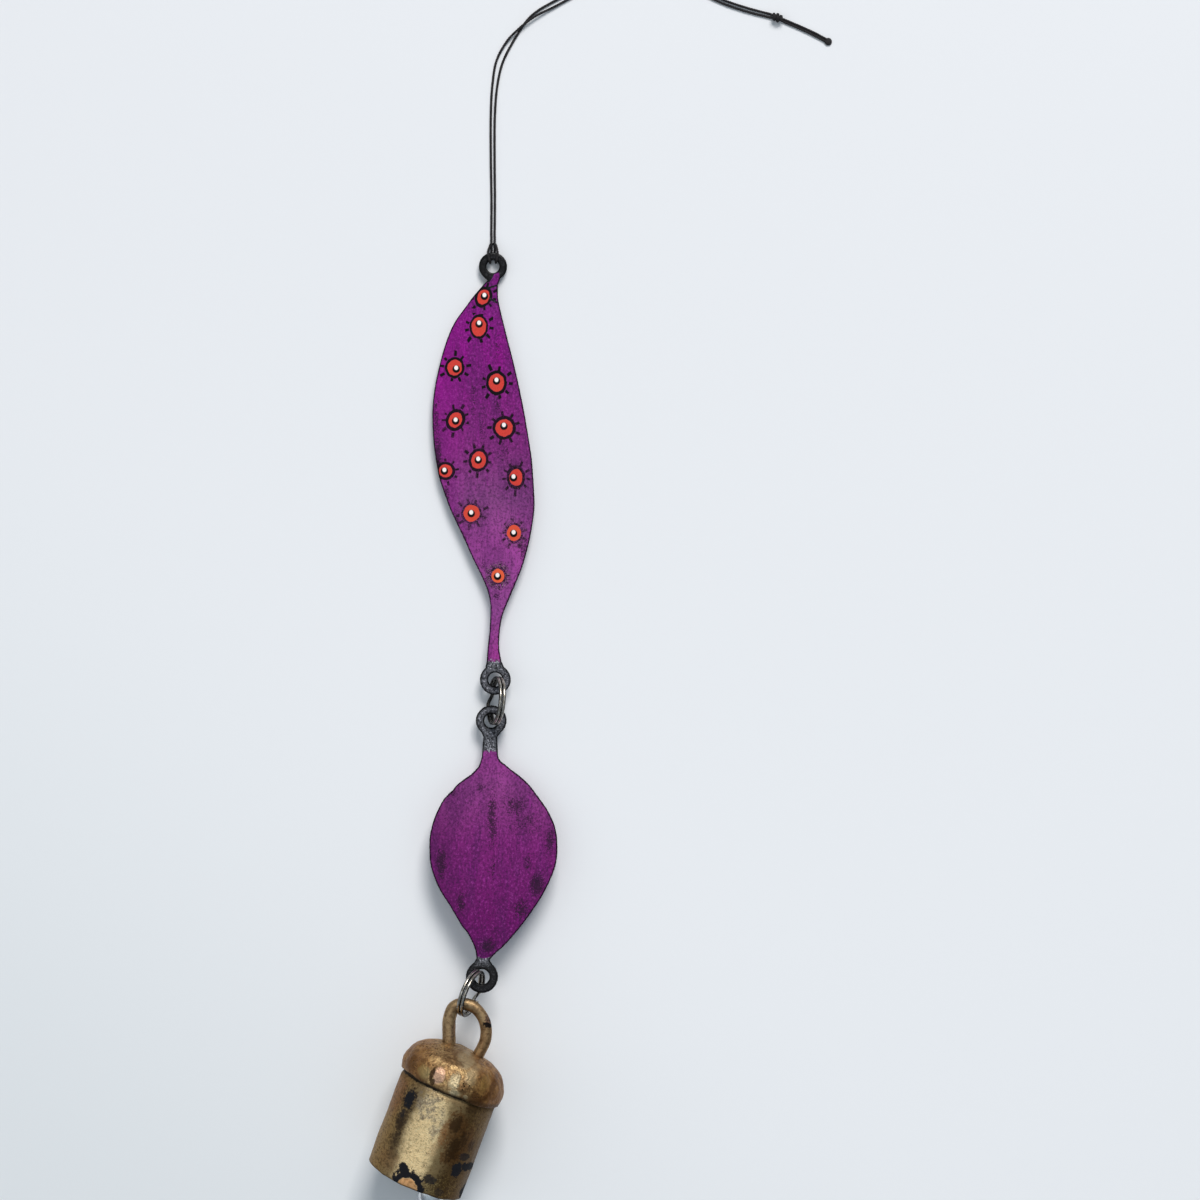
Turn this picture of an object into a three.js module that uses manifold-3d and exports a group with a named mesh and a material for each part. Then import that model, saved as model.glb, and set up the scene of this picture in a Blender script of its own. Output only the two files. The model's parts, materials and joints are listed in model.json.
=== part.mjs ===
// A hanging metal leaf chime: a doubled cord, two flat metal leaves, two split rings and a small bell.
// It lies flat on a table, face up: +X to its right, +Y towards the cord, +Z up, the table at zero.
// Every length is in millimetres and every angle in degrees.
import * as THREE from "three";
import { mergeVertices } from "three/addons/utils/BufferGeometryUtils.js";
import Module from "manifold-3d";

// Clearances between pieces
const SEAT_GAP = 0.3;
const TABLE_GAP = 0.03;

// Cord
const CORD_DIAMETER = 0.85;
const CORD_SIDES = 8;
const STRAND_STEPS = 36;
const HITCH_STEPS = 64;
const HITCH_LENGTH = 9.2;
const HITCH_SPREAD = 1.5;
const STRAND_SPACING = 1.06;
const KNOT_LENGTH = 3.6;
const KNOT_DIAMETER = 3.1;
const TAIL_END_WIDTH = 2.5;

// The cord's route on the table from the hitch to the knot, as chosen by hand, and its short tail
const LEFT_STRAND = [
  [-34.77, 116.2, 0], [-34.7, 128, 0], [-34.9, 140.8, 0], [-34.9, 155.2, 0],
  [-34.4, 164.8, 0], [-33.0, 172.8, 0], [-29.5, 179.0, 0.4], [-26.3, 182.2, 0.98],
  [-23.7, 184.4, 1.12], [-20.6, 186.6, 0.98], [-15.4, 189.3, 0.3], [-3.2, 195.2, 0],
  [12.8, 197.6, 0], [28.8, 195.1, 0], [40.6, 190.3, 0], [48, 187.9, 0], [54.5, 186.3, 0],
];
const RIGHT_STRAND = [
  [-33.71, 116.2, 0], [-33.6, 128, 0], [-33.7, 140.8, 0], [-33.6, 155.2, 0],
  [-32.8, 164.8, 0], [-31.1, 172.0, 0], [-27.8, 178.6, 0], [-25.7, 182.0, 0],
  [-23.9, 184.7, 0], [-21.2, 187.5, 0], [-15.8, 190.9, 0], [-3.2, 196.5, 0],
  [12.8, 198.9, 0], [28.8, 196.3, 0], [40.6, 191.5, 0], [48, 189.1, 0], [54.5, 187.4, 0],
];
const TAIL = [[58.8, 185.3, 0], [63.5, 183.3, 0], [68.5, 181.0, 0], [73.0, 178.6, 0]];

// Sheet-metal leaves
const SHEET = 1.6;
const EDGE_BEVEL = 0.25;
const TOP_EYE_RADIUS = 4.5;
const TOP_EYE_HOLE = 2.15;
const RING_EYE_RADIUS = 4.87;
const RING_EYE_HOLE = 2.3;
const BOTTOM_EYE_RADIUS = 5.1;
const BOTTOM_EYE_HOLE = 2.35;

const TOP_EYE_X = -34.18;
const TOP_EYE_Y = 106.5;

const UPPER_LEAF_LENGTH = 131.9;
const UPPER_LEAF_LEFT = 19.6;
const UPPER_LEAF_RIGHT = 12.8;
const UPPER_LEAF_HEADING = -0.35;
const LOWER_LEAF_LENGTH = 81.2;
const LOWER_LEAF_LEFT = 18.2;
const LOWER_LEAF_RIGHT = 22.5;
const LOWER_LEAF_HEADING = 1.9;

// Each blade edge: the share of the way from eye to eye, and the share of the blade's reach on that side
const UPPER_LEFT_EDGE = [
  [0.0325, 0.085], [0.047, 0.175], [0.075, 0.335], [0.1, 0.458], [0.13, 0.606], [0.165, 0.726], [0.2, 0.808],
  [0.235, 0.873], [0.285, 0.949], [0.33, 0.991], [0.38, 1], [0.44, 0.971], [0.49, 0.921],
  [0.52, 0.877], [0.565, 0.771], [0.6, 0.681], [0.65, 0.519], [0.7, 0.373], [0.73, 0.277],
  [0.77, 0.155], [0.79, 0.108], [0.81, 0.08], [0.83, 0.07], [0.88, 0.086], [0.92, 0.118], [0.955, 0.136],
];
const UPPER_RIGHT_EDGE = [
  [0.955, 0.155], [0.92, 0.103], [0.88, 0.123], [0.85, 0.177], [0.83, 0.242], [0.81, 0.33],
  [0.77, 0.511], [0.73, 0.677], [0.7, 0.77], [0.65, 0.904], [0.6, 0.985], [0.565, 1],
  [0.52, 0.98], [0.475, 0.948], [0.44, 0.902], [0.37, 0.788], [0.285, 0.619], [0.235, 0.502],
  [0.165, 0.323], [0.13, 0.237], [0.1, 0.163], [0.075, 0.123], [0.045, 0.119],
];
const LOWER_LEFT_EDGE = [
  [0.065, 0.125], [0.11, 0.138], [0.145, 0.144], [0.175, 0.18], [0.19, 0.22], [0.215, 0.325],
  [0.25, 0.53], [0.28, 0.64], [0.31, 0.768], [0.35, 0.86], [0.39, 0.93], [0.42, 0.965],
  [0.47, 1], [0.54, 0.985], [0.58, 0.955], [0.63, 0.872], [0.68, 0.757], [0.73, 0.598],
  [0.79, 0.43], [0.81, 0.37], [0.83, 0.285], [0.87, 0.181], [0.9, 0.126], [0.93, 0.107],
];
const LOWER_RIGHT_EDGE = [
  [0.935, 0.098], [0.92, 0.138], [0.9, 0.207], [0.87, 0.318], [0.83, 0.437], [0.79, 0.547],
  [0.73, 0.692], [0.68, 0.8], [0.63, 0.89], [0.58, 0.958], [0.54, 0.988], [0.5, 1],
  [0.45, 0.989], [0.42, 0.964], [0.39, 0.927], [0.35, 0.853], [0.31, 0.752], [0.28, 0.667],
  [0.25, 0.579], [0.215, 0.435], [0.19, 0.306], [0.175, 0.236], [0.16, 0.165], [0.145, 0.118],
  [0.11, 0.103], [0.065, 0.093],
];

// Split rings: two turns of wire side by side
const RING_DIAMETER = 15.6;
const RING_WIRE = 1.2;
const RING_PITCH = 1.65;
const RING_WIRE_SIDES = 8;
const RING_STEPS = 64;
const RING_STEP_HALF_ANGLE = 16;
const RING_END_GAP_ANGLE = 4;
const RING_SLACK = 0.2;
const MIDDLE_RING_LEAN = 17;
const MIDDLE_RING_HEADING = 5.6;
const MIDDLE_RING_DROP = 28;
const LOWER_RING_LEAN = -18;
const LOWER_RING_HEADING = 20;
const LOWER_RING_DROP = 42;

// Bell, measured along its axis from the cap's edge: up into the cap, down to the mouth
const BELL_HEADING = 20.8;
const BODY_RADIUS = 15.75;
const BODY_MOUTH_RADIUS = 15.75;
const BODY_NECK_RADIUS = 14;
const BODY_WALL = 0.8;
const BODY_LENGTH = 31.1;
const BODY_MOUTH_SLOPE = 0.04;
const BODY_MOUTH_FRONT_SLOPE = 0.05;
const BODY_SHOULDER = 1.6;
const BODY_IN_CAP = 3;
const LAP_HEIGHT = 0.4;
const LAP_TAPER = 0.35;
const LAP_ANGLE = 14;
const LAP_PLACE = 152;
const BELL_SEGMENTS = 40;
const CAP_WALL = 0.65;
const CAP_TILT = 3.2;
const CAP_HEIGHT = 12.6;
const CAP_BULGE = 0.25;
const CAP_WIDEST = 2.6;

// Bail: a bent bar with its two feet through the cap, wider in its own plane than it is thick.
// Its arch from the right foot to the crown, as shares of its half width and height.
const BAIL_BAR = 3.7;
const BAIL_THICKNESS = 3.1;
const BAIL_SIDES = 10;
const BAIL_STEPS = 26;
const BAIL_HALF_WIDTH = 5.95;
const BAIL_HEIGHT = 14.2;
const BAIL_FOOT_HALF_WIDTH = 5;
const BAIL_FOOT_NARROWING = 0.92;
const BAIL_FOOT_DEPTH = 3.4;
const BAIL_ARCH = [[1, 0.34], [0.93, 0.66], [0.55, 0.92], [0, 1]];
const BAIL_LEAN = 21.5;
const BAIL_RING_REACH = 3.7;
const BAIL_OVER_RING = 0.2;
const BAIL_RING_PLACE = 0.467;

// Clapper: a staple under the cap, a wire hook and a bob.
// The staple's legs are given as shares of its half width and heights above its bend.
const STAPLE_WIRE = 1.6;
const STAPLE_HALF_WIDTH = 3.2;
const STAPLE_DROP = 6.4;
const STAPLE_LEG = [[1.15, STAPLE_DROP - 0.6], [1, 2.4], [0.72, 0.5]];
const HOOK_WIRE = 1.4;
const HOOK_EYE_RADIUS = 2.2;
const HOOK_EYE_OPENING = 28;
const HOOK_EYE_STEPS = 14;
const HOOK_BEND = [[1.35, 0.12], [2.2, 0]];
const WIRE_SIDES = 8;
const BOB_RADIUS = 4.5;
const BOB_LENGTH = 10.5;
const BOB_PAST_MOUTH = 8.6;
const BOB_SOCKET = 3.5;
const BOB_PROFILE = [[0.62, 0.16], [0.94, 0.45], [1, 0.68], [0.86, 0.88], [0.5, 0.98], [0, 1]];
const CLAPPER_SWING = 13.8;
const CLAPPER_SIDE = -42;

// Material colours
const COLOURS = {
  cord: 0x1b1a1c,
  upperPaint: 0x7a2378,
  lowerPaint: 0x66245f,
  ringSteel: 0xa8a49c,
  bellBrass: 0x8a6d3e,
  capBrass: 0x94703f,
  bailBrass: 0x6f5a38,
  ironWire: 0x4c443a,
  bobSteel: 0xcfd0d6,
};

const wasm = await Module();
wasm.setup();
const radians = THREE.MathUtils.degToRad;
const cordRadius = CORD_DIAMETER / 2;

function paint(colour, roughness, metalness) {
  return new THREE.MeshStandardMaterial({ color: colour, roughness, metalness });
}

// A closed geometry as a solid for joining and cutting
function toSolid(geometry) {
  const bare = geometry.clone();
  bare.deleteAttribute("normal");
  bare.deleteAttribute("uv");
  const merged = mergeVertices(bare, 1e-4);
  return new wasm.Manifold(new wasm.Mesh({
    numProp: 3,
    vertProperties: new Float32Array(merged.attributes.position.array),
    triVerts: new Uint32Array(merged.index.array),
  }));
}

function toGeometry(solid) {
  const mesh = solid.getMesh();
  const geometry = new THREE.BufferGeometry();
  geometry.setAttribute("position", new THREE.BufferAttribute(mesh.vertProperties, 3));
  geometry.setIndex(new THREE.BufferAttribute(mesh.triVerts, 1));
  geometry.computeVertexNormals();
  return geometry;
}

function joined(first, ...others) {
  return toGeometry(others.reduce((whole, next) => whole.add(toSolid(next)), toSolid(first)));
}

function cut(first, ...tools) {
  return toGeometry(tools.reduce((rest, tool) => rest.subtract(toSolid(tool)), toSolid(first)));
}

// A round or flattened section for a tube, with its width across the second axis
function ovalSection(height, width, sides) {
  const points = [];
  for (let i = 0; i < sides; i += 1) {
    const angle = ((i + 0.5) / sides) * 2 * Math.PI;
    points.push(new THREE.Vector2((height / 2) * Math.cos(angle), (width / 2) * Math.sin(angle)));
  }
  return new THREE.Shape(points);
}

function tube(curve, height, width, sides, steps) {
  const section = ovalSection(height, width, sides);
  return new THREE.ExtrudeGeometry(section, { steps, extrudePath: curve, bevelEnabled: false });
}

function smoothCurve(points) {
  return new THREE.CatmullRomCurve3(points.map((p) => new THREE.Vector3(...p)), false, "centripetal");
}

function named(name, geometry, material) {
  const mesh = new THREE.Mesh(geometry, material);
  mesh.name = name;
  return mesh;
}

// Leaves, each cut from one sheet with its two eyes, lying along -Y from the centre of its first eye
function edgePoints(edge, length, reach) {
  return edge.map(([along, out]) => new THREE.Vector2(out * reach, -along * length));
}

function eyeArc(shape, centreY, radius, from, to) {
  const start = Math.atan2(from.y - centreY, from.x);
  const end = Math.atan2(to.y - centreY, to.x);
  const turn = THREE.MathUtils.euclideanModulo(end - start, 2 * Math.PI);
  const steps = 20;
  for (let i = 1; i < steps; i += 1) {
    const angle = start + (turn * i) / steps;
    shape.lineTo(radius * Math.cos(angle), centreY + radius * Math.sin(angle));
  }
}

function leafGeometry(leaf) {
  const left = edgePoints(leaf.leftEdge, leaf.length, -leaf.left);
  const right = edgePoints(leaf.rightEdge, leaf.length, leaf.right);
  const leftCurve = new THREE.SplineCurve(left).getPoints(leaf.edgeSteps);
  const rightCurve = new THREE.SplineCurve(right).getPoints(leaf.edgeSteps);
  const shape = new THREE.Shape();
  shape.moveTo(leftCurve[0].x, leftCurve[0].y);
  leftCurve.slice(1).forEach((p) => shape.lineTo(p.x, p.y));
  eyeArc(shape, -leaf.length, leaf.farEye.radius, left.at(-1), right[0]);
  rightCurve.forEach((p) => shape.lineTo(p.x, p.y));
  eyeArc(shape, 0, leaf.nearEye.radius, right.at(-1), left[0]);
  shape.closePath();
  for (const [centreY, hole] of [[0, leaf.nearEye.hole], [-leaf.length, leaf.farEye.hole]]) {
    const round = new THREE.Path();
    round.absarc(0, centreY, hole + EDGE_BEVEL, 0, 2 * Math.PI, true);
    shape.holes.push(round);
  }
  const geometry = new THREE.ExtrudeGeometry(shape, {
    depth: SHEET - 2 * EDGE_BEVEL,
    bevelEnabled: true,
    bevelSegments: 1,
    bevelSize: EDGE_BEVEL,
    bevelThickness: EDGE_BEVEL,
    bevelOffset: -EDGE_BEVEL,
    curveSegments: 14,
  });
  return geometry.translate(0, 0, -SHEET / 2 + EDGE_BEVEL);
}

const upperLeaf = {
  length: UPPER_LEAF_LENGTH,
  left: UPPER_LEAF_LEFT,
  right: UPPER_LEAF_RIGHT,
  leftEdge: UPPER_LEFT_EDGE,
  rightEdge: UPPER_RIGHT_EDGE,
  nearEye: { radius: TOP_EYE_RADIUS, hole: TOP_EYE_HOLE },
  farEye: { radius: RING_EYE_RADIUS, hole: RING_EYE_HOLE },
  edgeSteps: 52,
};
const lowerLeaf = {
  length: LOWER_LEAF_LENGTH,
  left: LOWER_LEAF_LEFT,
  right: LOWER_LEAF_RIGHT,
  leftEdge: LOWER_LEFT_EDGE,
  rightEdge: LOWER_RIGHT_EDGE,
  nearEye: { radius: RING_EYE_RADIUS, hole: RING_EYE_HOLE },
  farEye: { radius: BOTTOM_EYE_RADIUS, hole: BOTTOM_EYE_HOLE },
  edgeSteps: 46,
};

// Split ring wire about +Z, its two turns half a pitch to each side of the ring's middle plane.
// The wire crosses from one turn to the other at the start angle, between its two ends.
const ringRadius = (RING_DIAMETER - RING_WIRE) / 2;

class SplitRingCurve extends THREE.Curve {
  constructor(startAngle) {
    super();
    this.startAngle = startAngle;
  }

  getPoint(t, target = new THREE.Vector3()) {
    const half = radians(RING_STEP_HALF_ANGLE);
    const trim = half + radians(RING_END_GAP_ANGLE);
    const angle = trim + t * (4 * Math.PI - 2 * trim);
    const across = THREE.MathUtils.smoothstep(angle, 2 * Math.PI - half, 2 * Math.PI + half);
    const around = angle + this.startAngle;
    return target.set(
      ringRadius * Math.cos(around),
      ringRadius * Math.sin(around),
      RING_PITCH * (across - 0.5),
    );
  }
}

// The least space between two stretches of one wire, measured on points along it
function leastGap(curve, diameter, count) {
  const points = curve.getSpacedPoints(count);
  const apart = Math.ceil((2.5 * diameter) / (curve.getLength() / count));
  let least = Infinity;
  for (let i = 0; i < count; i += 1) {
    for (let j = i + apart; j <= count; j += 1) {
      least = Math.min(least, points[i].distanceTo(points[j]));
    }
  }
  return least - diameter;
}

function splitRingGeometry(startAngle) {
  const curve = new SplitRingCurve(radians(startAngle));
  console.log("least gap between a split ring's turns, mm:", leastGap(curve, RING_WIRE, 720).toFixed(2));
  return tube(curve, RING_WIRE, RING_WIRE, RING_WIRE_SIDES, RING_STEPS);
}

// Directions in the chain: a heading turns from -Y towards -X, and a rise lifts the far end
function headingVector(heading) {
  return new THREE.Vector3(-Math.sin(radians(heading)), -Math.cos(radians(heading)), 0);
}

function leafGroup(eye, heading, length, rise) {
  const group = new THREE.Group();
  group.position.copy(eye);
  group.rotation.set(-Math.asin(rise / length), 0, -radians(heading), "ZYX");
  group.updateMatrixWorld(true);
  return group;
}

// A ring threaded on an eye: its first axis follows the heading, its second leans from upright
function ringGroup(centre, heading, lean) {
  const along = headingVector(heading);
  const side = new THREE.Vector3(-along.y, along.x, 0);
  const up = new THREE.Vector3(0, 0, Math.cos(radians(lean))).addScaledVector(side, Math.sin(radians(lean)));
  const axle = new THREE.Vector3().crossVectors(along, up);
  const group = new THREE.Group();
  group.matrixAutoUpdate = false;
  group.matrix.makeBasis(along, up, axle).setPosition(centre);
  group.updateMatrixWorld(true);
  return { group, along, up, axle };
}

// Where the ring's wire crosses a sheet below the ring's middle, with the wire drawn to the eye's inside
function ringCentreFromEye(eye, heading, lean, drop) {
  const frame = ringGroup(eye, heading, lean);
  const reach = ringRadius * Math.cos(radians(drop)) + RING_SLACK;
  return eye.clone()
    .addScaledVector(frame.along, reach)
    .addScaledVector(frame.up, ringRadius * Math.sin(radians(drop)));
}

// Heights that the table sets: the top eye lies on the hitch, the middle ring stands on the table
const topEyeHeight = TABLE_GAP + CORD_DIAMETER + SEAT_GAP + SHEET / 2;
const topEye = new THREE.Vector3(TOP_EYE_X, TOP_EYE_Y, topEyeHeight);
const middleLean = radians(MIDDLE_RING_LEAN);
const middleRingHeight = ringRadius * Math.cos(middleLean)
  + (RING_PITCH / 2) * Math.sin(middleLean) + RING_WIRE / 2;
const middleEyeHeight = middleRingHeight
  - ringRadius * Math.sin(radians(MIDDLE_RING_DROP)) * Math.cos(middleLean);

const upperGroup = leafGroup(topEye, UPPER_LEAF_HEADING, UPPER_LEAF_LENGTH, middleEyeHeight - topEyeHeight);
const upperFarEye = new THREE.Vector3(0, -UPPER_LEAF_LENGTH, 0).applyMatrix4(upperGroup.matrixWorld);
const middleCentre = ringCentreFromEye(upperFarEye, MIDDLE_RING_HEADING, MIDDLE_RING_LEAN, MIDDLE_RING_DROP);
const middleRing = ringGroup(middleCentre, MIDDLE_RING_HEADING, MIDDLE_RING_LEAN);
const eyeToEye = 2 * (ringRadius * Math.cos(radians(MIDDLE_RING_DROP)) + RING_SLACK);
const lowerNearEye = upperFarEye.clone().addScaledVector(middleRing.along, eyeToEye);

// Bell, in its own frame: +Y up its axis to the cap, the cap's edge at zero
const neckShare = BODY_SHOULDER / (BODY_SHOULDER + BODY_IN_CAP);
const bodyAtCapEdge = (BODY_RADIUS + LAP_HEIGHT) * THREE.MathUtils.lerp(1, BODY_NECK_RADIUS / BODY_RADIUS, neckShare);
const capInside = bodyAtCapEdge + SEAT_GAP;
const capRadius = capInside + CAP_WALL;
const widest = capRadius + CAP_BULGE;
const bellPitch = Math.asin((widest - BODY_MOUTH_RADIUS) / (BODY_LENGTH + CAP_WIDEST));
const bellHeight = BODY_MOUTH_RADIUS * Math.cos(bellPitch) + BODY_LENGTH * Math.sin(bellPitch) + TABLE_GAP;

// The body's rows from the mouth up, each a height and a radius
const BODY_ROWS = [
  [-BODY_LENGTH, BODY_MOUTH_RADIUS],
  [-BODY_SHOULDER, BODY_RADIUS],
  [BODY_IN_CAP, BODY_NECK_RADIUS],
];

// The rolled sheet overlaps itself along one line, where its outside steps up
function bodyOutline() {
  const rise = radians(LAP_ANGLE);
  const outline = [];
  for (let i = 0; i < BELL_SEGMENTS; i += 1) {
    const angle = (i / BELL_SEGMENTS) * 2 * Math.PI;
    const past = THREE.MathUtils.euclideanModulo(angle - radians(LAP_PLACE), 2 * Math.PI);
    const lap = past < rise ? LAP_HEIGHT * (1 - (past / rise) * LAP_TAPER) : 0;
    const radius = BODY_RADIUS + lap;
    outline.push(new THREE.Vector2(radius * Math.cos(angle), radius * Math.sin(angle)));
  }
  return outline;
}

function bodyGeometry() {
  const outer = new THREE.Shape(bodyOutline());
  const inside = new THREE.Path();
  inside.absarc(0, 0, BODY_RADIUS - BODY_WALL, 0, 2 * Math.PI, true);
  outer.holes.push(inside);
  const steps = BODY_ROWS.length - 1;
  const geometry = new THREE.ExtrudeGeometry(outer, {
    depth: steps, bevelEnabled: false, steps, curveSegments: BELL_SEGMENTS / 2,
  });
  geometry.rotateX(-Math.PI / 2);
  const places = geometry.attributes.position;
  for (let i = 0; i < places.count; i += 1) {
    const [height, radius] = BODY_ROWS[Math.round(places.getY(i))];
    const share = radius / BODY_RADIUS;
    const across = places.getX(i) * share;
    const forward = places.getZ(i) * share;
    const slope = height === -BODY_LENGTH ? BODY_MOUTH_SLOPE * across + BODY_MOUTH_FRONT_SLOPE * forward : 0;
    places.setXYZ(i, across, height - slope, forward);
  }
  return geometry;
}

// The dome's outside as shares of its radius and height, from the edge to the crown
const DOME = [[1, 0.26], [0.955, 0.5], [0.86, 0.68], [0.71, 0.82], [0.5, 0.92], [0.25, 0.98], [0, 1]];

function capProfile() {
  const outside = new THREE.SplineCurve(DOME.map(([out, up]) =>
    new THREE.Vector2(out * (capRadius + CAP_BULGE * (up < 0.4 ? 1 : 0)), up * CAP_HEIGHT))).getPoints(11);
  const inside = DOME.slice().reverse().map(([out, up]) =>
    new THREE.Vector2(out * (capRadius - CAP_WALL), up * (CAP_HEIGHT - CAP_WALL)));
  const innerCurve = new THREE.SplineCurve(inside).getPoints(7);
  outside.at(-1).x = 0;
  innerCurve[0].x = 0;
  return [
    ...innerCurve,
    new THREE.Vector2(capInside, 0),
    new THREE.Vector2(capRadius, 0),
    ...outside,
  ];
}

function bailPoints() {
  const foot = domeHeightAt(BAIL_FOOT_HALF_WIDTH) - BAIL_FOOT_DEPTH;
  const crown = domeHeightAt(0);
  const arch = [
    [BAIL_FOOT_HALF_WIDTH * BAIL_FOOT_NARROWING, foot - crown],
    [BAIL_FOOT_HALF_WIDTH, 0],
    ...BAIL_ARCH.map(([out, up]) => [out * BAIL_HALF_WIDTH, up * BAIL_HEIGHT]),
  ];
  const left = arch.slice(0, -1).reverse().map(([x, y]) => [-x, y]);
  return [...arch, ...left].map(([x, y]) => {
    const lean = radians(BAIL_LEAN) * THREE.MathUtils.clamp(y / BAIL_HEIGHT, 0, 1);
    return [x * Math.cos(lean) - y * Math.sin(lean), crown + y * Math.cos(lean) + x * Math.sin(lean), 0];
  });
}

function domeHeightAt(out) {
  const share = Math.min(1, out / capRadius);
  return (CAP_HEIGHT - CAP_WALL / 2) * Math.sqrt(1 - 0.62 * share * share);
}

const bailCurve = smoothCurve(bailPoints());
const bailHold = bailCurve.getPoint(BAIL_RING_PLACE);

// The bell lies on its cap and its mouth, and the lower leaf's far eye is held up by the ring on the bail
const bellGroup = new THREE.Group();
bellGroup.rotation.set(bellPitch, 0, -radians(BELL_HEADING), "ZYX");
bellGroup.position.set(0, 0, bellHeight);
bellGroup.updateMatrixWorld(true);
const holdPlace = bailHold.clone().applyMatrix4(bellGroup.matrixWorld);
const lowerRingHeight = holdPlace.z - BAIL_OVER_RING;
const lowerEyeHeight = lowerRingHeight
  - ringRadius * Math.sin(radians(LOWER_RING_DROP)) * Math.cos(radians(LOWER_RING_LEAN));
const lowerRise = lowerEyeHeight - lowerNearEye.z;
const lowerGroup = leafGroup(lowerNearEye, LOWER_LEAF_HEADING, LOWER_LEAF_LENGTH, lowerRise);
const lowerFarEye = new THREE.Vector3(0, -LOWER_LEAF_LENGTH, 0).applyMatrix4(lowerGroup.matrixWorld);
const lowerCentre = ringCentreFromEye(lowerFarEye, LOWER_RING_HEADING, LOWER_RING_LEAN, LOWER_RING_DROP);
const lowerRing = ringGroup(lowerCentre, LOWER_RING_HEADING, LOWER_RING_LEAN);
const bailCentre = lowerCentre.clone().addScaledVector(lowerRing.along, BAIL_RING_REACH);
bellGroup.position.x = bailCentre.x - holdPlace.x;
bellGroup.position.y = bailCentre.y - holdPlace.y;

// Clapper frame: its swing axis is local X, at the underside of the staple
const stapleHeight = CAP_HEIGHT - CAP_WALL - SEAT_GAP - STAPLE_DROP;
const clapperLength = stapleHeight + (BODY_LENGTH + BOB_PAST_MOUTH) / Math.cos(radians(CLAPPER_SWING));

function stapleGeometry() {
  const leg = STAPLE_LEG.map(([out, up]) => [out * STAPLE_HALF_WIDTH, stapleHeight + up, 0]);
  const otherLeg = leg.slice().reverse().map(([x, y, z]) => [-x, y, z]);
  const curve = smoothCurve([...leg, [0, stapleHeight, 0], ...otherLeg]);
  return tube(curve, STAPLE_WIRE, STAPLE_WIRE, WIRE_SIDES, 18);
}

// The hook's eye goes round the staple, and its shank runs into the bob
function hookGeometry() {
  const centre = -(HOOK_EYE_RADIUS - STAPLE_WIRE / 2 - HOOK_WIRE / 2 - SEAT_GAP);
  const points = [];
  const open = radians(HOOK_EYE_OPENING);
  for (let i = 0; i <= HOOK_EYE_STEPS; i += 1) {
    const angle = -Math.PI / 2 + open + (i / HOOK_EYE_STEPS) * (2 * Math.PI - 2 * open);
    points.push([0, centre + HOOK_EYE_RADIUS * Math.sin(angle), HOOK_EYE_RADIUS * Math.cos(angle)]);
  }
  HOOK_BEND.forEach(([down, back]) =>
    points.push([0, centre - HOOK_EYE_RADIUS * down, -HOOK_EYE_RADIUS * back]));
  points.push([0, -(clapperLength - BOB_LENGTH + BOB_SOCKET - SEAT_GAP), 0]);
  return tube(smoothCurve(points), HOOK_WIRE, HOOK_WIRE, WIRE_SIDES, 44);
}

function bobGeometry() {
  const side = BOB_PROFILE.map(([out, down]) => [out * BOB_RADIUS, -down * BOB_LENGTH]);
  const profile = [[0, 0], [HOOK_WIRE, 0], ...side];
  const points = profile.reverse().map(([x, y]) => new THREE.Vector2(x, y));
  const bob = new THREE.LatheGeometry(points, 20);
  const socketRadius = HOOK_WIRE / 2 + SEAT_GAP;
  const socket = new THREE.CylinderGeometry(socketRadius, socketRadius, 2 * BOB_SOCKET, 12);
  return cut(bob, socket).translate(0, -(clapperLength - BOB_LENGTH), 0);
}

// Cow hitch about the top eye's hole, in that eye's level frame: +Y towards the cord.
// The cord comes in over its own bight, passes under the rim, up through the hole and back over the rim.
function hitchPoints() {
  const under = -SHEET / 2 - SEAT_GAP - cordRadius;
  const over = -under + 0.05;
  const rim = TOP_EYE_RADIUS;
  const inner = TOP_EYE_HOLE - cordRadius - 0.15;
  const half = STRAND_SPACING / 2;
  const bight = rim + CORD_DIAMETER * 2 + 0.1;
  const lifted = under + CORD_DIAMETER + 0.18;
  const side = HITCH_SPREAD;
  const path = [
    [half, HITCH_LENGTH, under],
    [half, bight + 1.6, under + 0.42],
    [half, bight, lifted],
    [half, rim + 0.55, under + 0.42],
    [half + 0.05, rim - 0.5, under - 0.02],
    [half + 0.15, rim - 1.7, under - 0.02],
    [half + 0.3, inner * 0.95 + 0.35, under + 0.16],
    [half + 0.38, inner * 0.84, -SHEET / 2 + 0.05],
    [half + 0.4, inner * 0.78, 0],
    [half + 0.45, inner * 0.84, SHEET / 2 - 0.05],
    [half + 0.58, inner * 0.95 + 0.35, over - 0.12],
    [side - 0.1, rim - 1.4, over + 0.02],
    [side, rim - 0.35, over],
    [side + 0.02, rim + 0.6, over - 0.55],
    [side, bight - 0.45, -0.1],
    [side - 0.12, bight - 0.1, under + 0.62],
    [side * 0.72, bight, under + 0.08],
    [side * 0.3, bight, under],
  ];
  const mirrored = path.slice().reverse().map(([x, y, z]) => [x, y, z]);
  return [...path.map(([x, y, z]) => [-x, y, z]), ...mirrored];
}

function strandGeometry(points) {
  const curve = smoothCurve(points.map(([x, y, z]) => [x, y, z + cordRadius + TABLE_GAP]));
  return tube(curve, CORD_DIAMETER, CORD_DIAMETER, CORD_SIDES, STRAND_STEPS);
}

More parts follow.
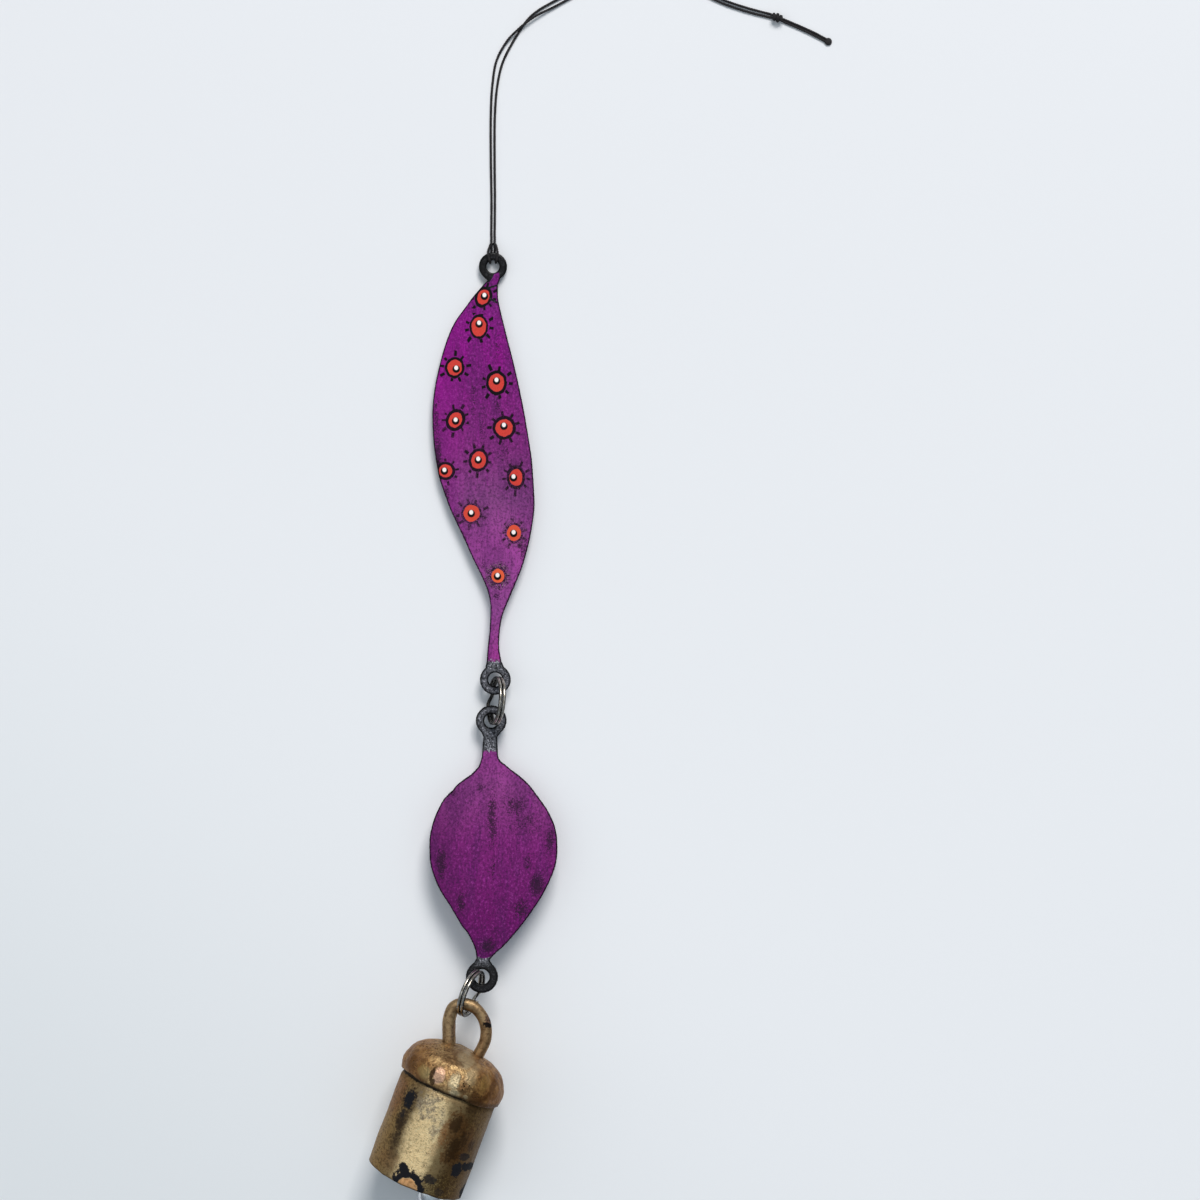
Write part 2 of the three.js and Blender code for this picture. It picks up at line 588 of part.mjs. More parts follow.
// The overhand knot as its outer shape: three wraps along the cord
function knotGeometry() {
  const points = [new THREE.Vector2(0, 0)];
  const rings = 12;
  for (let i = 0; i <= rings; i += 1) {
    const along = i / rings;
    const swell = 0.62 + 0.38 * Math.sin(Math.PI * along);
    const wraps = 1 - 0.12 * (0.5 + 0.5 * Math.cos(6 * Math.PI * along));
    points.push(new THREE.Vector2((KNOT_DIAMETER / 2) * swell * wraps, along * KNOT_LENGTH));
  }
  points.push(new THREE.Vector2(0, KNOT_LENGTH));
  return new THREE.LatheGeometry(points, 12);
}

function tailGeometry() {
  const curve = smoothCurve(TAIL.map(([x, y, z]) => [x, y, z + cordRadius + TABLE_GAP]));
  const strands = tube(curve, CORD_DIAMETER, 2 * CORD_DIAMETER, 10, 8);
  const end = TAIL.at(-1);
  const bead = new THREE.SphereGeometry(TAIL_END_WIDTH / 2, 12, 8);
  bead.scale(1, 1, CORD_DIAMETER / TAIL_END_WIDTH);
  bead.translate(end[0], end[1], cordRadius + TABLE_GAP);
  return joined(strands, bead);
}

// Assembly
const chime = new THREE.Group();
const cordPaint = paint(COLOURS.cord, 0.85, 0);

const hitchPlace = new THREE.Group();
hitchPlace.position.copy(topEye);
hitchPlace.add(named(
  "cord_hitch",
  tube(smoothCurve(hitchPoints()), CORD_DIAMETER, CORD_DIAMETER, CORD_SIDES, HITCH_STEPS),
  cordPaint,
));
chime.add(hitchPlace);
chime.add(named("cord_strand_left", strandGeometry(LEFT_STRAND), cordPaint));
chime.add(named("cord_strand_right", strandGeometry(RIGHT_STRAND), cordPaint));

const knot = named("cord_end_knot", knotGeometry(), cordPaint);
const strandEnd = new THREE.Vector3(...LEFT_STRAND.at(-1)).lerp(new THREE.Vector3(...RIGHT_STRAND.at(-1)), 0.5);
const tailStart = new THREE.Vector3(...TAIL[0]);
const knotAxis = tailStart.clone().sub(strandEnd).normalize();
knot.quaternion.setFromUnitVectors(new THREE.Vector3(0, 1, 0), knotAxis);
knot.position.copy(strandEnd).lerp(tailStart, 0.5).addScaledVector(knotAxis, -KNOT_LENGTH / 2);
knot.position.z = KNOT_DIAMETER / 2 + TABLE_GAP;
chime.add(knot);
chime.add(named("cord_tail", tailGeometry(), cordPaint));

upperGroup.add(named("upper_leaf", leafGeometry(upperLeaf), paint(COLOURS.upperPaint, 0.5, 0.1)));
lowerGroup.add(named("lower_leaf", leafGeometry(lowerLeaf), paint(COLOURS.lowerPaint, 0.5, 0.1)));
const steel = paint(COLOURS.ringSteel, 0.3, 1);
middleRing.group.add(named("middle_split_ring", splitRingGeometry(-90), steel));
lowerRing.group.add(named("lower_split_ring", splitRingGeometry(-90), steel));
chime.add(upperGroup, middleRing.group, lowerGroup, lowerRing.group);

const bailTube = tube(bailCurve, BAIL_THICKNESS, BAIL_BAR, BAIL_SIDES, BAIL_STEPS);
const bailHoles = tube(
  bailCurve, BAIL_THICKNESS + 2 * SEAT_GAP, BAIL_BAR + 2 * SEAT_GAP, BAIL_SIDES, BAIL_STEPS,
);
const dome = new THREE.LatheGeometry(capProfile(), BELL_SEGMENTS);
dome.rotateZ(-radians(CAP_TILT));
bellGroup.add(named("bell_body", bodyGeometry(), paint(COLOURS.bellBrass, 0.4, 1)));
bellGroup.add(named("bell_cap", cut(dome, bailHoles), paint(COLOURS.capBrass, 0.4, 1)));
bellGroup.add(named("bell_bail", bailTube, paint(COLOURS.bailBrass, 0.45, 1)));

const clapperFrame = new THREE.Group();
clapperFrame.rotation.set(0, radians(CLAPPER_SIDE), 0);
clapperFrame.add(named("clapper_staple", stapleGeometry(), paint(COLOURS.ironWire, 0.6, 1)));
const swing = new THREE.Group();
swing.position.set(0, stapleHeight, 0);
swing.rotation.set(radians(CLAPPER_SWING), 0, 0);
swing.add(named("clapper_hook", hookGeometry(), paint(COLOURS.ironWire, 0.6, 1)));
swing.add(named("clapper_bob", bobGeometry(), paint(COLOURS.bobSteel, 0.2, 1)));
clapperFrame.add(swing);
bellGroup.add(clapperFrame);
chime.add(bellGroup);

// The origin is on the table, in the middle of everything but the cord
chime.updateMatrixWorld(true);
const extent = new THREE.Box3();
chime.traverse((o) => {
  if (o.isMesh && !o.name.startsWith("cord_")) extent.union(new THREE.Box3().setFromObject(o, true));
});
const middle = extent.getCenter(new THREE.Vector3());
chime.position.set(-middle.x, -middle.y, 0);

const part = new THREE.Group();
part.add(chime);

export default part;
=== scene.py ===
import json
import math

import bmesh
import bpy
from bpy.props import FloatProperty, FloatVectorProperty, IntProperty, PointerProperty
from mathutils import Matrix, Vector, noise
from mathutils.kdtree import KDTree


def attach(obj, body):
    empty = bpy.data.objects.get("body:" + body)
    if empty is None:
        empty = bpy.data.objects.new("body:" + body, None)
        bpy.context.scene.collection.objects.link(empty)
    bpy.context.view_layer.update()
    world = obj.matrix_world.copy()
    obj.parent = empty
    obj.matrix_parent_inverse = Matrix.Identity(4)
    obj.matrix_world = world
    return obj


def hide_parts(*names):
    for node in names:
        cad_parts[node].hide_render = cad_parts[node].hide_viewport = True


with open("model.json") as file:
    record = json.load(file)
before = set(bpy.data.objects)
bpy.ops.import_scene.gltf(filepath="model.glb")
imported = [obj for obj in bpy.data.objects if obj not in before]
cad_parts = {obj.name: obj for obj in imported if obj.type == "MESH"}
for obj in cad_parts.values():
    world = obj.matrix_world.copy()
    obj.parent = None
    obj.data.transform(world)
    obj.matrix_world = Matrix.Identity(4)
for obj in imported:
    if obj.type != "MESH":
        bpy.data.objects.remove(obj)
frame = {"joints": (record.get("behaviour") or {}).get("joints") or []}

bl_info = {
    "name": "Metal leaf wind chime",
    "version": (1, 0, 0),
    "blender": (4, 5, 0),
    "location": "View3D > Sidebar > Chime",
    "description": "Dresses a hanging chime of painted metal leaves, split rings, a brass bell and a cord",
    "category": "Object",
}

MM = 0.001
TO_MM = 1000.0
JOINTS = {joint["name"]: joint for joint in frame["joints"]}
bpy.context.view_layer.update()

# The photograph: its middle pixel, its scale on the table, and the top eye's place in it
PHOTO_MIDDLE = 600.0
PHOTO_MM_PER_PIXEL = 0.32
PHOTO_WIDTH_MM = 384.0
TOP_EYE_PIXEL = (493.0, 266.6)
CAMERA_HEIGHT = 1.1
SENSOR_WIDTH = 36.0


def joint_place(name):
    return Vector(JOINTS[name]["pos_m"])


def joint_axis(name):
    return Vector(JOINTS[name]["axis"]).normalized()


TOP_EYE = joint_place("upper_leaf_swing")


def pixel_offset(pixel, height):
    """How far a pixel of the photograph lies from its middle, in metres, at a height above the table"""
    scale = PHOTO_MM_PER_PIXEL * MM * (1 - height / CAMERA_HEIGHT)
    return Vector(((pixel[0] - PHOTO_MIDDLE) * scale, (PHOTO_MIDDLE - pixel[1]) * scale, 0))


PHOTO_CENTRE = TOP_EYE - pixel_offset(TOP_EYE_PIXEL, TOP_EYE.z)


def from_layout(point):
    """A place in the part source's layout, whose zero is the middle of the photograph"""
    x, y, z = point
    return Vector((PHOTO_CENTRE.x + x * MM, PHOTO_CENTRE.y + y * MM, z * MM))


def measure(name, description, millimetres):
    return FloatProperty(name=name, description=description, default=millimetres * MM, unit="LENGTH")


def linear_colour(name, description, default):
    return FloatVectorProperty(name=name, description=description, default=default, subtype="COLOR")


class CordSizes(bpy.types.PropertyGroup):
    diameter: measure("Cord diameter", "Across the twisted cord", 0.85)
    twist: measure("Twist length", "Length of one full turn of its plies", 2.4)
    plies: IntProperty(name="Plies", description="Threads twisted together", default=3)
    colour: linear_colour("Cord colour", "Waxed black thread", (0.012, 0.011, 0.013))


class LeafSizes(bpy.types.PropertyGroup):
    grain: measure("Mesh grain", "Spacing of the leaves' mesh", 0.28)
    dent: measure("Unevenness", "How far the hand-cut sheet leaves its plane", 0.1)


class RingSizes(bpy.types.PropertyGroup):
    diameter: measure("Ring diameter", "Outside of the split rings", 15.6)
    wire: measure("Ring wire", "Wire thickness", 1.12)
    pitch: measure("Turn spacing", "Between the two turns' middles", 1.2)
    colour: linear_colour("Ring colour", "Plated steel", (0.50, 0.47, 0.43))


class BellSizes(bpy.types.PropertyGroup):
    radius: measure("Body radius", "Outside of the body below the cap", 15.75)
    mouth: measure("Mouth radius", "Outside of the body at its mouth", 15.75)
    neck: measure("Neck radius", "Outside of the body inside the cap", 14)
    wall: measure("Body wall", "Sheet thickness", 0.8)
    length: measure("Body length", "From the cap's edge to the mouth", 31.1)
    shoulder: measure("Shoulder", "Where the body starts to draw in", 1.6)
    in_cap: measure("Body in cap", "How far the body goes into the cap", 3)
    lap: measure("Lap", "Step of the rolled sheet's overlap", 0.4)
    cap_wall: measure("Cap wall", "Cap thickness", 0.65)
    cap_height: measure("Cap height", "From the cap's edge to its crown", 12.6)
    brass: linear_colour("Brass", "Bright rubbed brass", (0.92, 0.69, 0.375))


SETTINGS = {
    "chime_cord": CordSizes, "chime_leaf": LeafSizes, "chime_ring": RingSizes, "chime_bell": BellSizes}


def sizes(name):
    return getattr(bpy.context.scene, name)


# Shader expressions
class Value:
    """A number socket: Python arithmetic on it adds Math nodes"""

    def __init__(self, graph, socket):
        self.graph = graph
        self.socket = socket

    def math(self, operation, *others):
        return self.graph.math(operation, self, *others)

    def __add__(self, other):
        return self.math("ADD", other)

    __radd__ = __add__

    def __sub__(self, other):
        return self.math("SUBTRACT", other)

    def __rsub__(self, other):
        return self.graph.math("SUBTRACT", other, self)

    def __mul__(self, other):
        return self.math("MULTIPLY", other)

    __rmul__ = __mul__

    def __truediv__(self, other):
        return self.math("DIVIDE", other)

    def __rtruediv__(self, other):
        return self.graph.math("DIVIDE", other, self)

    def __pow__(self, other):
        return self.math("POWER", other)

    def __abs__(self):
        return self.math("ABSOLUTE")

    def step(self, low, high):
        """0 below low and 1 above high, with a smooth rise between; low above high turns it round"""
        first, last = sorted((low, high))
        node = self.graph.add("ShaderNodeMapRange", {"interpolation_type": "SMOOTHSTEP"}, {
            "Value": self, "From Min": first, "From Max": last})
        rise = Value(self.graph, node.outputs[0])
        return rise if low <= high else 1 - rise

    def clamp(self):
        return self.math("MAXIMUM", 0.0).math("MINIMUM", 1.0)


class Graph:
    """The node tree of one material"""

    def __init__(self, name, roughness=0.5, metallic=0.0, **constants):
        self.material = bpy.data.materials.new(name)
        self.material.use_nodes = True
        self.tree = self.material.node_tree
        self.shader = self.tree.nodes["Principled BSDF"]
        self.shader.inputs["Roughness"].default_value = roughness
        self.shader.inputs["Metallic"].default_value = metallic
        for socket, amount in constants.items():
            self.shader.inputs[socket.replace("_", " ")].default_value = amount

    def add(self, kind, settings=None, inputs=()):
        node = self.tree.nodes.new(kind)
        for key, setting in (settings or {}).items():
            setattr(node, key, setting)
        pairs = inputs.items() if isinstance(inputs, dict) else enumerate(inputs)
        for key, given in pairs:
            self.feed(node.inputs[key], given)
        return node

    def feed(self, socket, given):
        if isinstance(given, Value):
            given = given.socket
        if isinstance(given, bpy.types.NodeSocket):
            self.tree.links.new(given, socket)
        elif given is not None:
            socket.default_value = given

    def math(self, operation, *inputs):
        return Value(self, self.add("ShaderNodeMath", {"operation": operation}, inputs).outputs[0])

    def place(self, scale=TO_MM):
        """Object coordinates, in millimetres unless another scale is given"""
        coordinates = self.add("ShaderNodeTexCoord").outputs["Object"]
        return self.add(
            "ShaderNodeVectorMath", {"operation": "SCALE"}, {0: coordinates, "Scale": scale}).outputs[0]

    def pixels(self):
        """Object coordinates counted in the photograph's pixels, for paint that is placed by them"""
        coordinates = self.add("ShaderNodeTexCoord").outputs["Object"]
        scale = 1 / (PHOTO_MM_PER_PIXEL * MM)
        mapping = self.add("ShaderNodeMapping", {"vector_type": "POINT"}, {
            "Vector": coordinates, "Scale": (scale, -scale, scale),
            "Location": (PHOTO_MIDDLE - PHOTO_CENTRE.x * scale, PHOTO_MIDDLE + PHOTO_CENTRE.y * scale, 0)})
        return mapping.outputs[0]

    def attribute(self, name):
        return self.add("ShaderNodeAttribute", {"attribute_name": name})

    def local(self, name="place"):
        return self.attribute(name).outputs["Vector"]

    def amount(self, name):
        return Value(self, self.attribute(name).outputs["Fac"])

    def split(self, vector):
        node = self.add("ShaderNodeSeparateXYZ", None, (vector,))
        return [Value(self, out) for out in node.outputs]

    def join(self, x, y, z):
        return self.add("ShaderNodeCombineXYZ", None, (x, y, z)).outputs[0]

    def stretched(self, vector, scale):
        return self.add("ShaderNodeVectorMath", {"operation": "MULTIPLY"}, (vector, scale)).outputs[0]

    def noise(self, vector, scale, detail=3.0, roughness=0.55, distortion=0.0):
        node = self.add("ShaderNodeTexNoise", {"noise_dimensions": "3D"}, {
            "Vector": vector, "Scale": scale, "Detail": detail, "Roughness": roughness,
            "Distortion": distortion})
        return Value(self, node.outputs["Fac"])

    def cells(self, vector, scale):
        node = self.add("ShaderNodeTexVoronoi", {"feature": "F1"}, {"Vector": vector, "Scale": scale})
        return Value(self, node.outputs["Distance"])

    def mix(self, factor, under, over):
        node = self.add("ShaderNodeMix", {"data_type": "RGBA", "clamp_factor": True}, {
            "Factor": factor, 6: colour(under), 7: colour(over)})
        return node.outputs[2]

    def layers(self, tone, *coats):
        """Lays coats over a tone, each a mask and its colour"""
        for mask, over in coats:
            tone = self.mix(mask, tone, over)
        return tone

    def tinted(self, tone, factor, tint):
        node = self.add("ShaderNodeMix", {"data_type": "RGBA", "blend_type": "MULTIPLY"}, {
            "Factor": factor, 6: colour(tone), 7: colour(tint)})
        return node.outputs[2]

    def ramp(self, factor, stops):
        node = self.add("ShaderNodeValToRGB", None, (factor,))
        elements = node.color_ramp.elements
        while len(elements) < len(stops):
            elements.new(0.5)
        for element, (position, stop) in zip(elements, stops):
            element.position = position
            element.color = colour(stop)
        return node.outputs["Color"]

    def bump(self, height, strength, distance, normal=None):
        node = self.add("ShaderNodeBump", None, {
            "Strength": strength, "Distance": distance, "Height": height, "Normal": normal})
        return node.outputs["Normal"]

    def spot(self, x, y, middle_x, middle_y, wide, high):
        """1 at the middle of an oval, 0 on its edge and less beyond it"""
        across = (x - middle_x) / wide
        up = (y - middle_y) / high
        return 1 - (across * across + up * up)

    def blots(self, x, y, rag, marks, soft):
        """Ragged ovals, each with its place, half sizes and strength"""
        blot = None
        for middle_x, middle_y, wide, high, strength in marks:
            one = (self.spot(x, y, middle_x, middle_y, wide, high) + rag).step(0.0, soft) * strength
            blot = one if blot is None else blot.math("MAXIMUM", one)
        return blot

    def finish(self, **sockets):
        for socket, given in sockets.items():
            self.feed(self.shader.inputs[socket.replace("_", " ")], given)
        return self.material


def colour(given):
    """A linear colour with its alpha; a socket passes through"""
    if isinstance(given, (tuple, list)) or hasattr(given, "hsv"):
        return (given[0], given[1], given[2], 1.0)
    return given


def seen(red, green, blue):
    """A colour as it looks on a screen, 0 to 255, made linear"""
    return tuple(
        ((c / 255 + 0.055) / 1.055) ** 2.4 if c > 10 else c / 255 / 12.92 for c in (red, green, blue))


# Meshes
def keep(mesh, name, body, material, replaced=()):
    """Puts a finished mesh into the scene as a piece that rides on a body"""
    mesh.name = name
    piece = bpy.data.objects.new(name, mesh)
    bpy.context.scene.collection.objects.link(piece)
    mesh.materials.clear()
    mesh.materials.append(material)
    mesh.shade_smooth()
    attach(piece, body)
    if replaced:
        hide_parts(*replaced)
    return piece


def store_place(bm):
    """Keeps each point's own place, in millimetres, for the material to read"""
    layer = bm.verts.layers.float_vector.new("place")
    for vert in bm.verts:
        vert[layer] = vert.co * TO_MM


def from_bmesh(bm, matrix=None):
    bmesh.ops.recalc_face_normals(bm, faces=bm.faces)
    if matrix is not None:
        bmesh.ops.transform(bm, matrix=matrix, verts=bm.verts)
    mesh = bpy.data.meshes.new("shape")
    bm.to_mesh(mesh)
    bm.free()
    return mesh


def evaluated(holder):
    """The mesh that an object shows, with its modifiers or its curve worked out"""
    bpy.context.view_layer.update()
    return bpy.data.meshes.new_from_object(holder.evaluated_get(bpy.context.evaluated_depsgraph_get()))


def frame_of(across, up, out, place):
    """A frame's matrix from its three directions and its origin"""
    return Matrix((
        (across.x, up.x, out.x, place.x), (across.y, up.y, out.y, place.y),
        (across.z, up.z, out.z, place.z), (0, 0, 0, 1)))


def wire_mesh(strings, resolution=4):
    """Round wires along lists of (point, radius), with closed ends"""
    curve = bpy.data.curves.new("wire", "CURVE")
    curve.dimensions = "3D"
    curve.bevel_depth = 1.0
    curve.bevel_resolution = resolution
    curve.use_fill_caps = True
    curve.twist_mode = "MINIMUM"
    for string in strings:
        spline = curve.splines.new("POLY")
        spline.points.add(len(string) - 1)
        for target, (point, radius) in zip(spline.points, string):
            target.co = (*point, 1)
            target.radius = radius
    holder = bpy.data.objects.new("wire", curve)
    bpy.context.scene.collection.objects.link(holder)
    mesh = evaluated(holder)
    bpy.data.objects.remove(holder)
    bpy.data.curves.remove(curve)
    return mesh


def wire_bmesh(strings, resolution=4):
    bm = bmesh.new()
    bm.from_mesh(wire_mesh(strings, resolution))
    bmesh.ops.remove_doubles(bm, verts=bm.verts, dist=1e-7)
    return bm


def smooth_path(points, spacing):
    """Evenly spaced points on a centripetal curve through the given ones"""
    ends = [points[0] * 2 - points[1], *points, points[-1] * 2 - points[-2]]
    dense = []
    for p0, p1, p2, p3 in zip(ends, ends[1:], ends[2:], ends[3:]):
        t1 = math.sqrt((p1 - p0).length)
        t2 = t1 + math.sqrt((p2 - p1).length)
        t3 = t2 + math.sqrt((p3 - p2).length)
        steps = max(2, math.ceil((p2 - p1).length / spacing * 2))
        for i in range(steps):
            t = t1 + (t2 - t1) * i / steps
            a1 = p0 * ((t1 - t) / t1) + p1 * (t / t1)
            a2 = p1 * ((t2 - t) / (t2 - t1)) + p2 * ((t - t1) / (t2 - t1))
            a3 = p2 * ((t3 - t) / (t3 - t2)) + p3 * ((t - t2) / (t3 - t2))
            b1 = a1 * ((t2 - t) / t2) + a2 * (t / t2)
            b2 = a2 * ((t3 - t) / (t3 - t1)) + a3 * ((t - t1) / (t3 - t1))
            dense.append(b1 * ((t2 - t) / (t2 - t1)) + b2 * ((t - t1) / (t2 - t1)))
    dense.append(points[-1].copy())
    return evenly(dense, spacing)


def run_lengths(points):
    """How far along its path each point lies"""
    runs = [0.0]
    for a, b in zip(points, points[1:]):
        runs.append(runs[-1] + (b - a).length)
    return runs


def evenly(dense, spacing):
    """The same path with evenly spaced points"""
    runs = run_lengths(dense)
    count = max(2, round(runs[-1] / spacing))
    out = []
    place = 0
    for i in range(count + 1):
        run = runs[-1] * i / count
        while place < len(runs) - 2 and runs[place + 1] < run:
            place += 1
        share = (run - runs[place]) / max(runs[place + 1] - runs[place], 1e-12)
        out.append(dense[place].lerp(dense[place + 1], min(max(share, 0.0), 1.0)))
    return out


def path_length(points):
    return sum((b - a).length for a, b in zip(points, points[1:]))


def carried_frames(points):
    """A sideways direction at each point that doesn't twist along the path"""
    last = len(points) - 1
    tangents = [
        (points[min(i + 1, last)] - points[max(i - 1, 0)]).normalized() for i in range(last + 1)]
    side = tangents[0].orthogonal().normalized()
    sides = [side]
    for before, after in zip(tangents, tangents[1:]):
        side = before.rotation_difference(after) @ side
        side = (side - after * side.dot(after)).normalized()
        sides.append(side)
    return tangents, sides


def plied(points, diameter, plies, twist, phase=0.0):
    """The threads of a twisted cord along a path, as wires"""
    thread = diameter * THREAD_SHARE
    offset = diameter / 2 - thread
    tangents, sides = carried_frames(points)
    runs = run_lengths(points)
    strings = []
    for ply in range(plies):
        string = []
        for point, tangent, side, run in zip(points, tangents, sides, runs):
            angle = phase + 2 * math.pi * (run / twist + ply / plies)
            out = side * math.cos(angle) + tangent.cross(side) * math.sin(angle)
            string.append((point + out * offset, thread))
        strings.append(string)
    return strings


# Cord: its route as in the part's source, in millimetres of that layout
TABLE_GAP = 0.03
THREAD_SHARE = 0.27
STEPS_PER_TWIST = 9
TAIL_THICKNESS = 0.98
TAIL_SPACING = 0.86
KNOT_TURNS = 2.3
KNOT_STEPS = 44
KNOT_CORE_STEPS = 8
KNOT_LANE = 0.28
LEFT_STRAND = [
    (-34.77, 116.2, 0), (-34.7, 128, 0), (-34.9, 140.8, 0), (-34.9, 155.2, 0),
    (-34.4, 164.8, 0), (-33.0, 172.8, 0), (-29.5, 179.0, 0.4), (-26.3, 182.2, 0.98),
    (-23.7, 184.4, 1.12), (-20.6, 186.6, 0.98), (-15.4, 189.3, 0.3), (-3.2, 195.2, 0),
    (12.8, 197.6, 0), (28.8, 195.1, 0), (40.6, 190.3, 0), (48, 187.9, 0), (54.5, 186.3, 0),
]
RIGHT_STRAND = [
    (-33.71, 116.2, 0), (-33.6, 128, 0), (-33.7, 140.8, 0), (-33.6, 155.2, 0),
    (-32.8, 164.8, 0), (-31.1, 172.0, 0), (-27.8, 178.6, 0), (-25.7, 182.0, 0),
    (-23.9, 184.7, 0), (-21.2, 187.5, 0), (-15.8, 190.9, 0), (-3.2, 196.5, 0),
    (12.8, 198.9, 0), (28.8, 196.3, 0), (40.6, 191.5, 0), (48, 189.1, 0), (54.5, 187.4, 0),
]
TAIL = [(58.8, 185.3, 0), (63.5, 183.3, 0), (68.5, 181.0, 0), (73.0, 178.6, 0)]
HITCH = {"rim": 4.5, "hole": 2.15, "sheet": 1.6, "gap": 0.3, "spread": 1.5, "spacing": 1.06, "length": 9.2}
KNOT_DIAMETER = 3.1
KNOT_LENGTH = 3.6
TAIL_END_WIDTH = 2.5
LEAD_OVERLAP = 0.5


def cord_line(points):
    """Even points along a cord's route"""
    return smooth_path(points, sizes("chime_cord").twist / STEPS_PER_TWIST)


def twisted(points, thickness=1.0, phase=0.0):
    """The threads of the cord along a route"""
    size = sizes("chime_cord")
    return plied(cord_line(points), size.diameter * thickness, size.plies, size.twist, phase)


def cord_route(points):
    rise = TABLE_GAP + sizes("chime_cord").diameter / MM / 2
    return [from_layout((x, y, z + rise)) for x, y, z in points]


def hitch_route():
    """The cow hitch round the top eye: over its bight, under the rim, up the hole and back over"""
    cord = sizes("chime_cord").diameter / MM
    under = -HITCH["sheet"] / 2 - HITCH["gap"] - cord / 2
    over = -under + 0.05
    rim = HITCH["rim"]
    inner = HITCH["hole"] - cord / 2 - 0.15
    half = HITCH["spacing"] / 2
    bight = rim + 2.85
    lifted = under + cord + 0.18
    side = HITCH["spread"]
    path = [
        (half, HITCH["length"] + 0.5, under), (half, bight + 1.0, under + 0.5), (half, bight, lifted),
        (half, bight - 1.3, under + 0.7), (half, rim + 0.55, under + 0.42),
        (half + 0.05, rim - 0.5, under - 0.02), (half + 0.15, rim - 1.7, under - 0.02),
        (half + 0.3, inner * 0.95 + 0.35, under + 0.16),
        (half + 0.38, inner * 0.84, -HITCH["sheet"] / 2 + 0.05), (half + 0.4, inner * 0.78, 0),
        (half + 0.45, inner * 0.84, HITCH["sheet"] / 2 - 0.05),
        (half + 0.58, inner * 0.95 + 0.35, over - 0.12),
        (side - 0.08, rim - 1.4, over + 0.02), (side + 0.04, rim - 0.35, over),
        (side - 0.06, rim + 0.5, over - 0.3), (side * 0.84, rim + 1.2, 0.2),
        (side * 0.7, rim + 1.9, under + 1.0), (side * 0.57, bight - 0.3, under + 0.4),
        (side * 0.34, bight, under + 0.05),
    ]
    whole = [(-x, y, z) for x, y, z in path] + list(reversed(path))
    return [TOP_EYE + Vector(point) * MM for point in whole]


def cord_material():
    graph = Graph("waxed black cord", roughness=0.62, Specular_IOR_Level=0.22)
    place = graph.place()
    fibres = graph.noise(place, 5.0, detail=4.0)
    lint = graph.noise(place, 1.4, detail=2.0).step(0.58, 0.72)
    base = sizes("chime_cord").colour
    tone = graph.mix(fibres.step(0.35, 0.7), tuple(base), (0.026, 0.022, 0.022))
    tone = graph.mix(lint * 0.30, tone, (0.085, 0.070, 0.062))
    bump = graph.bump(fibres, 0.5, 0.00006)
    return graph.finish(Base_Color=tone, Normal=bump, Roughness=0.55 + fibres * 0.25)


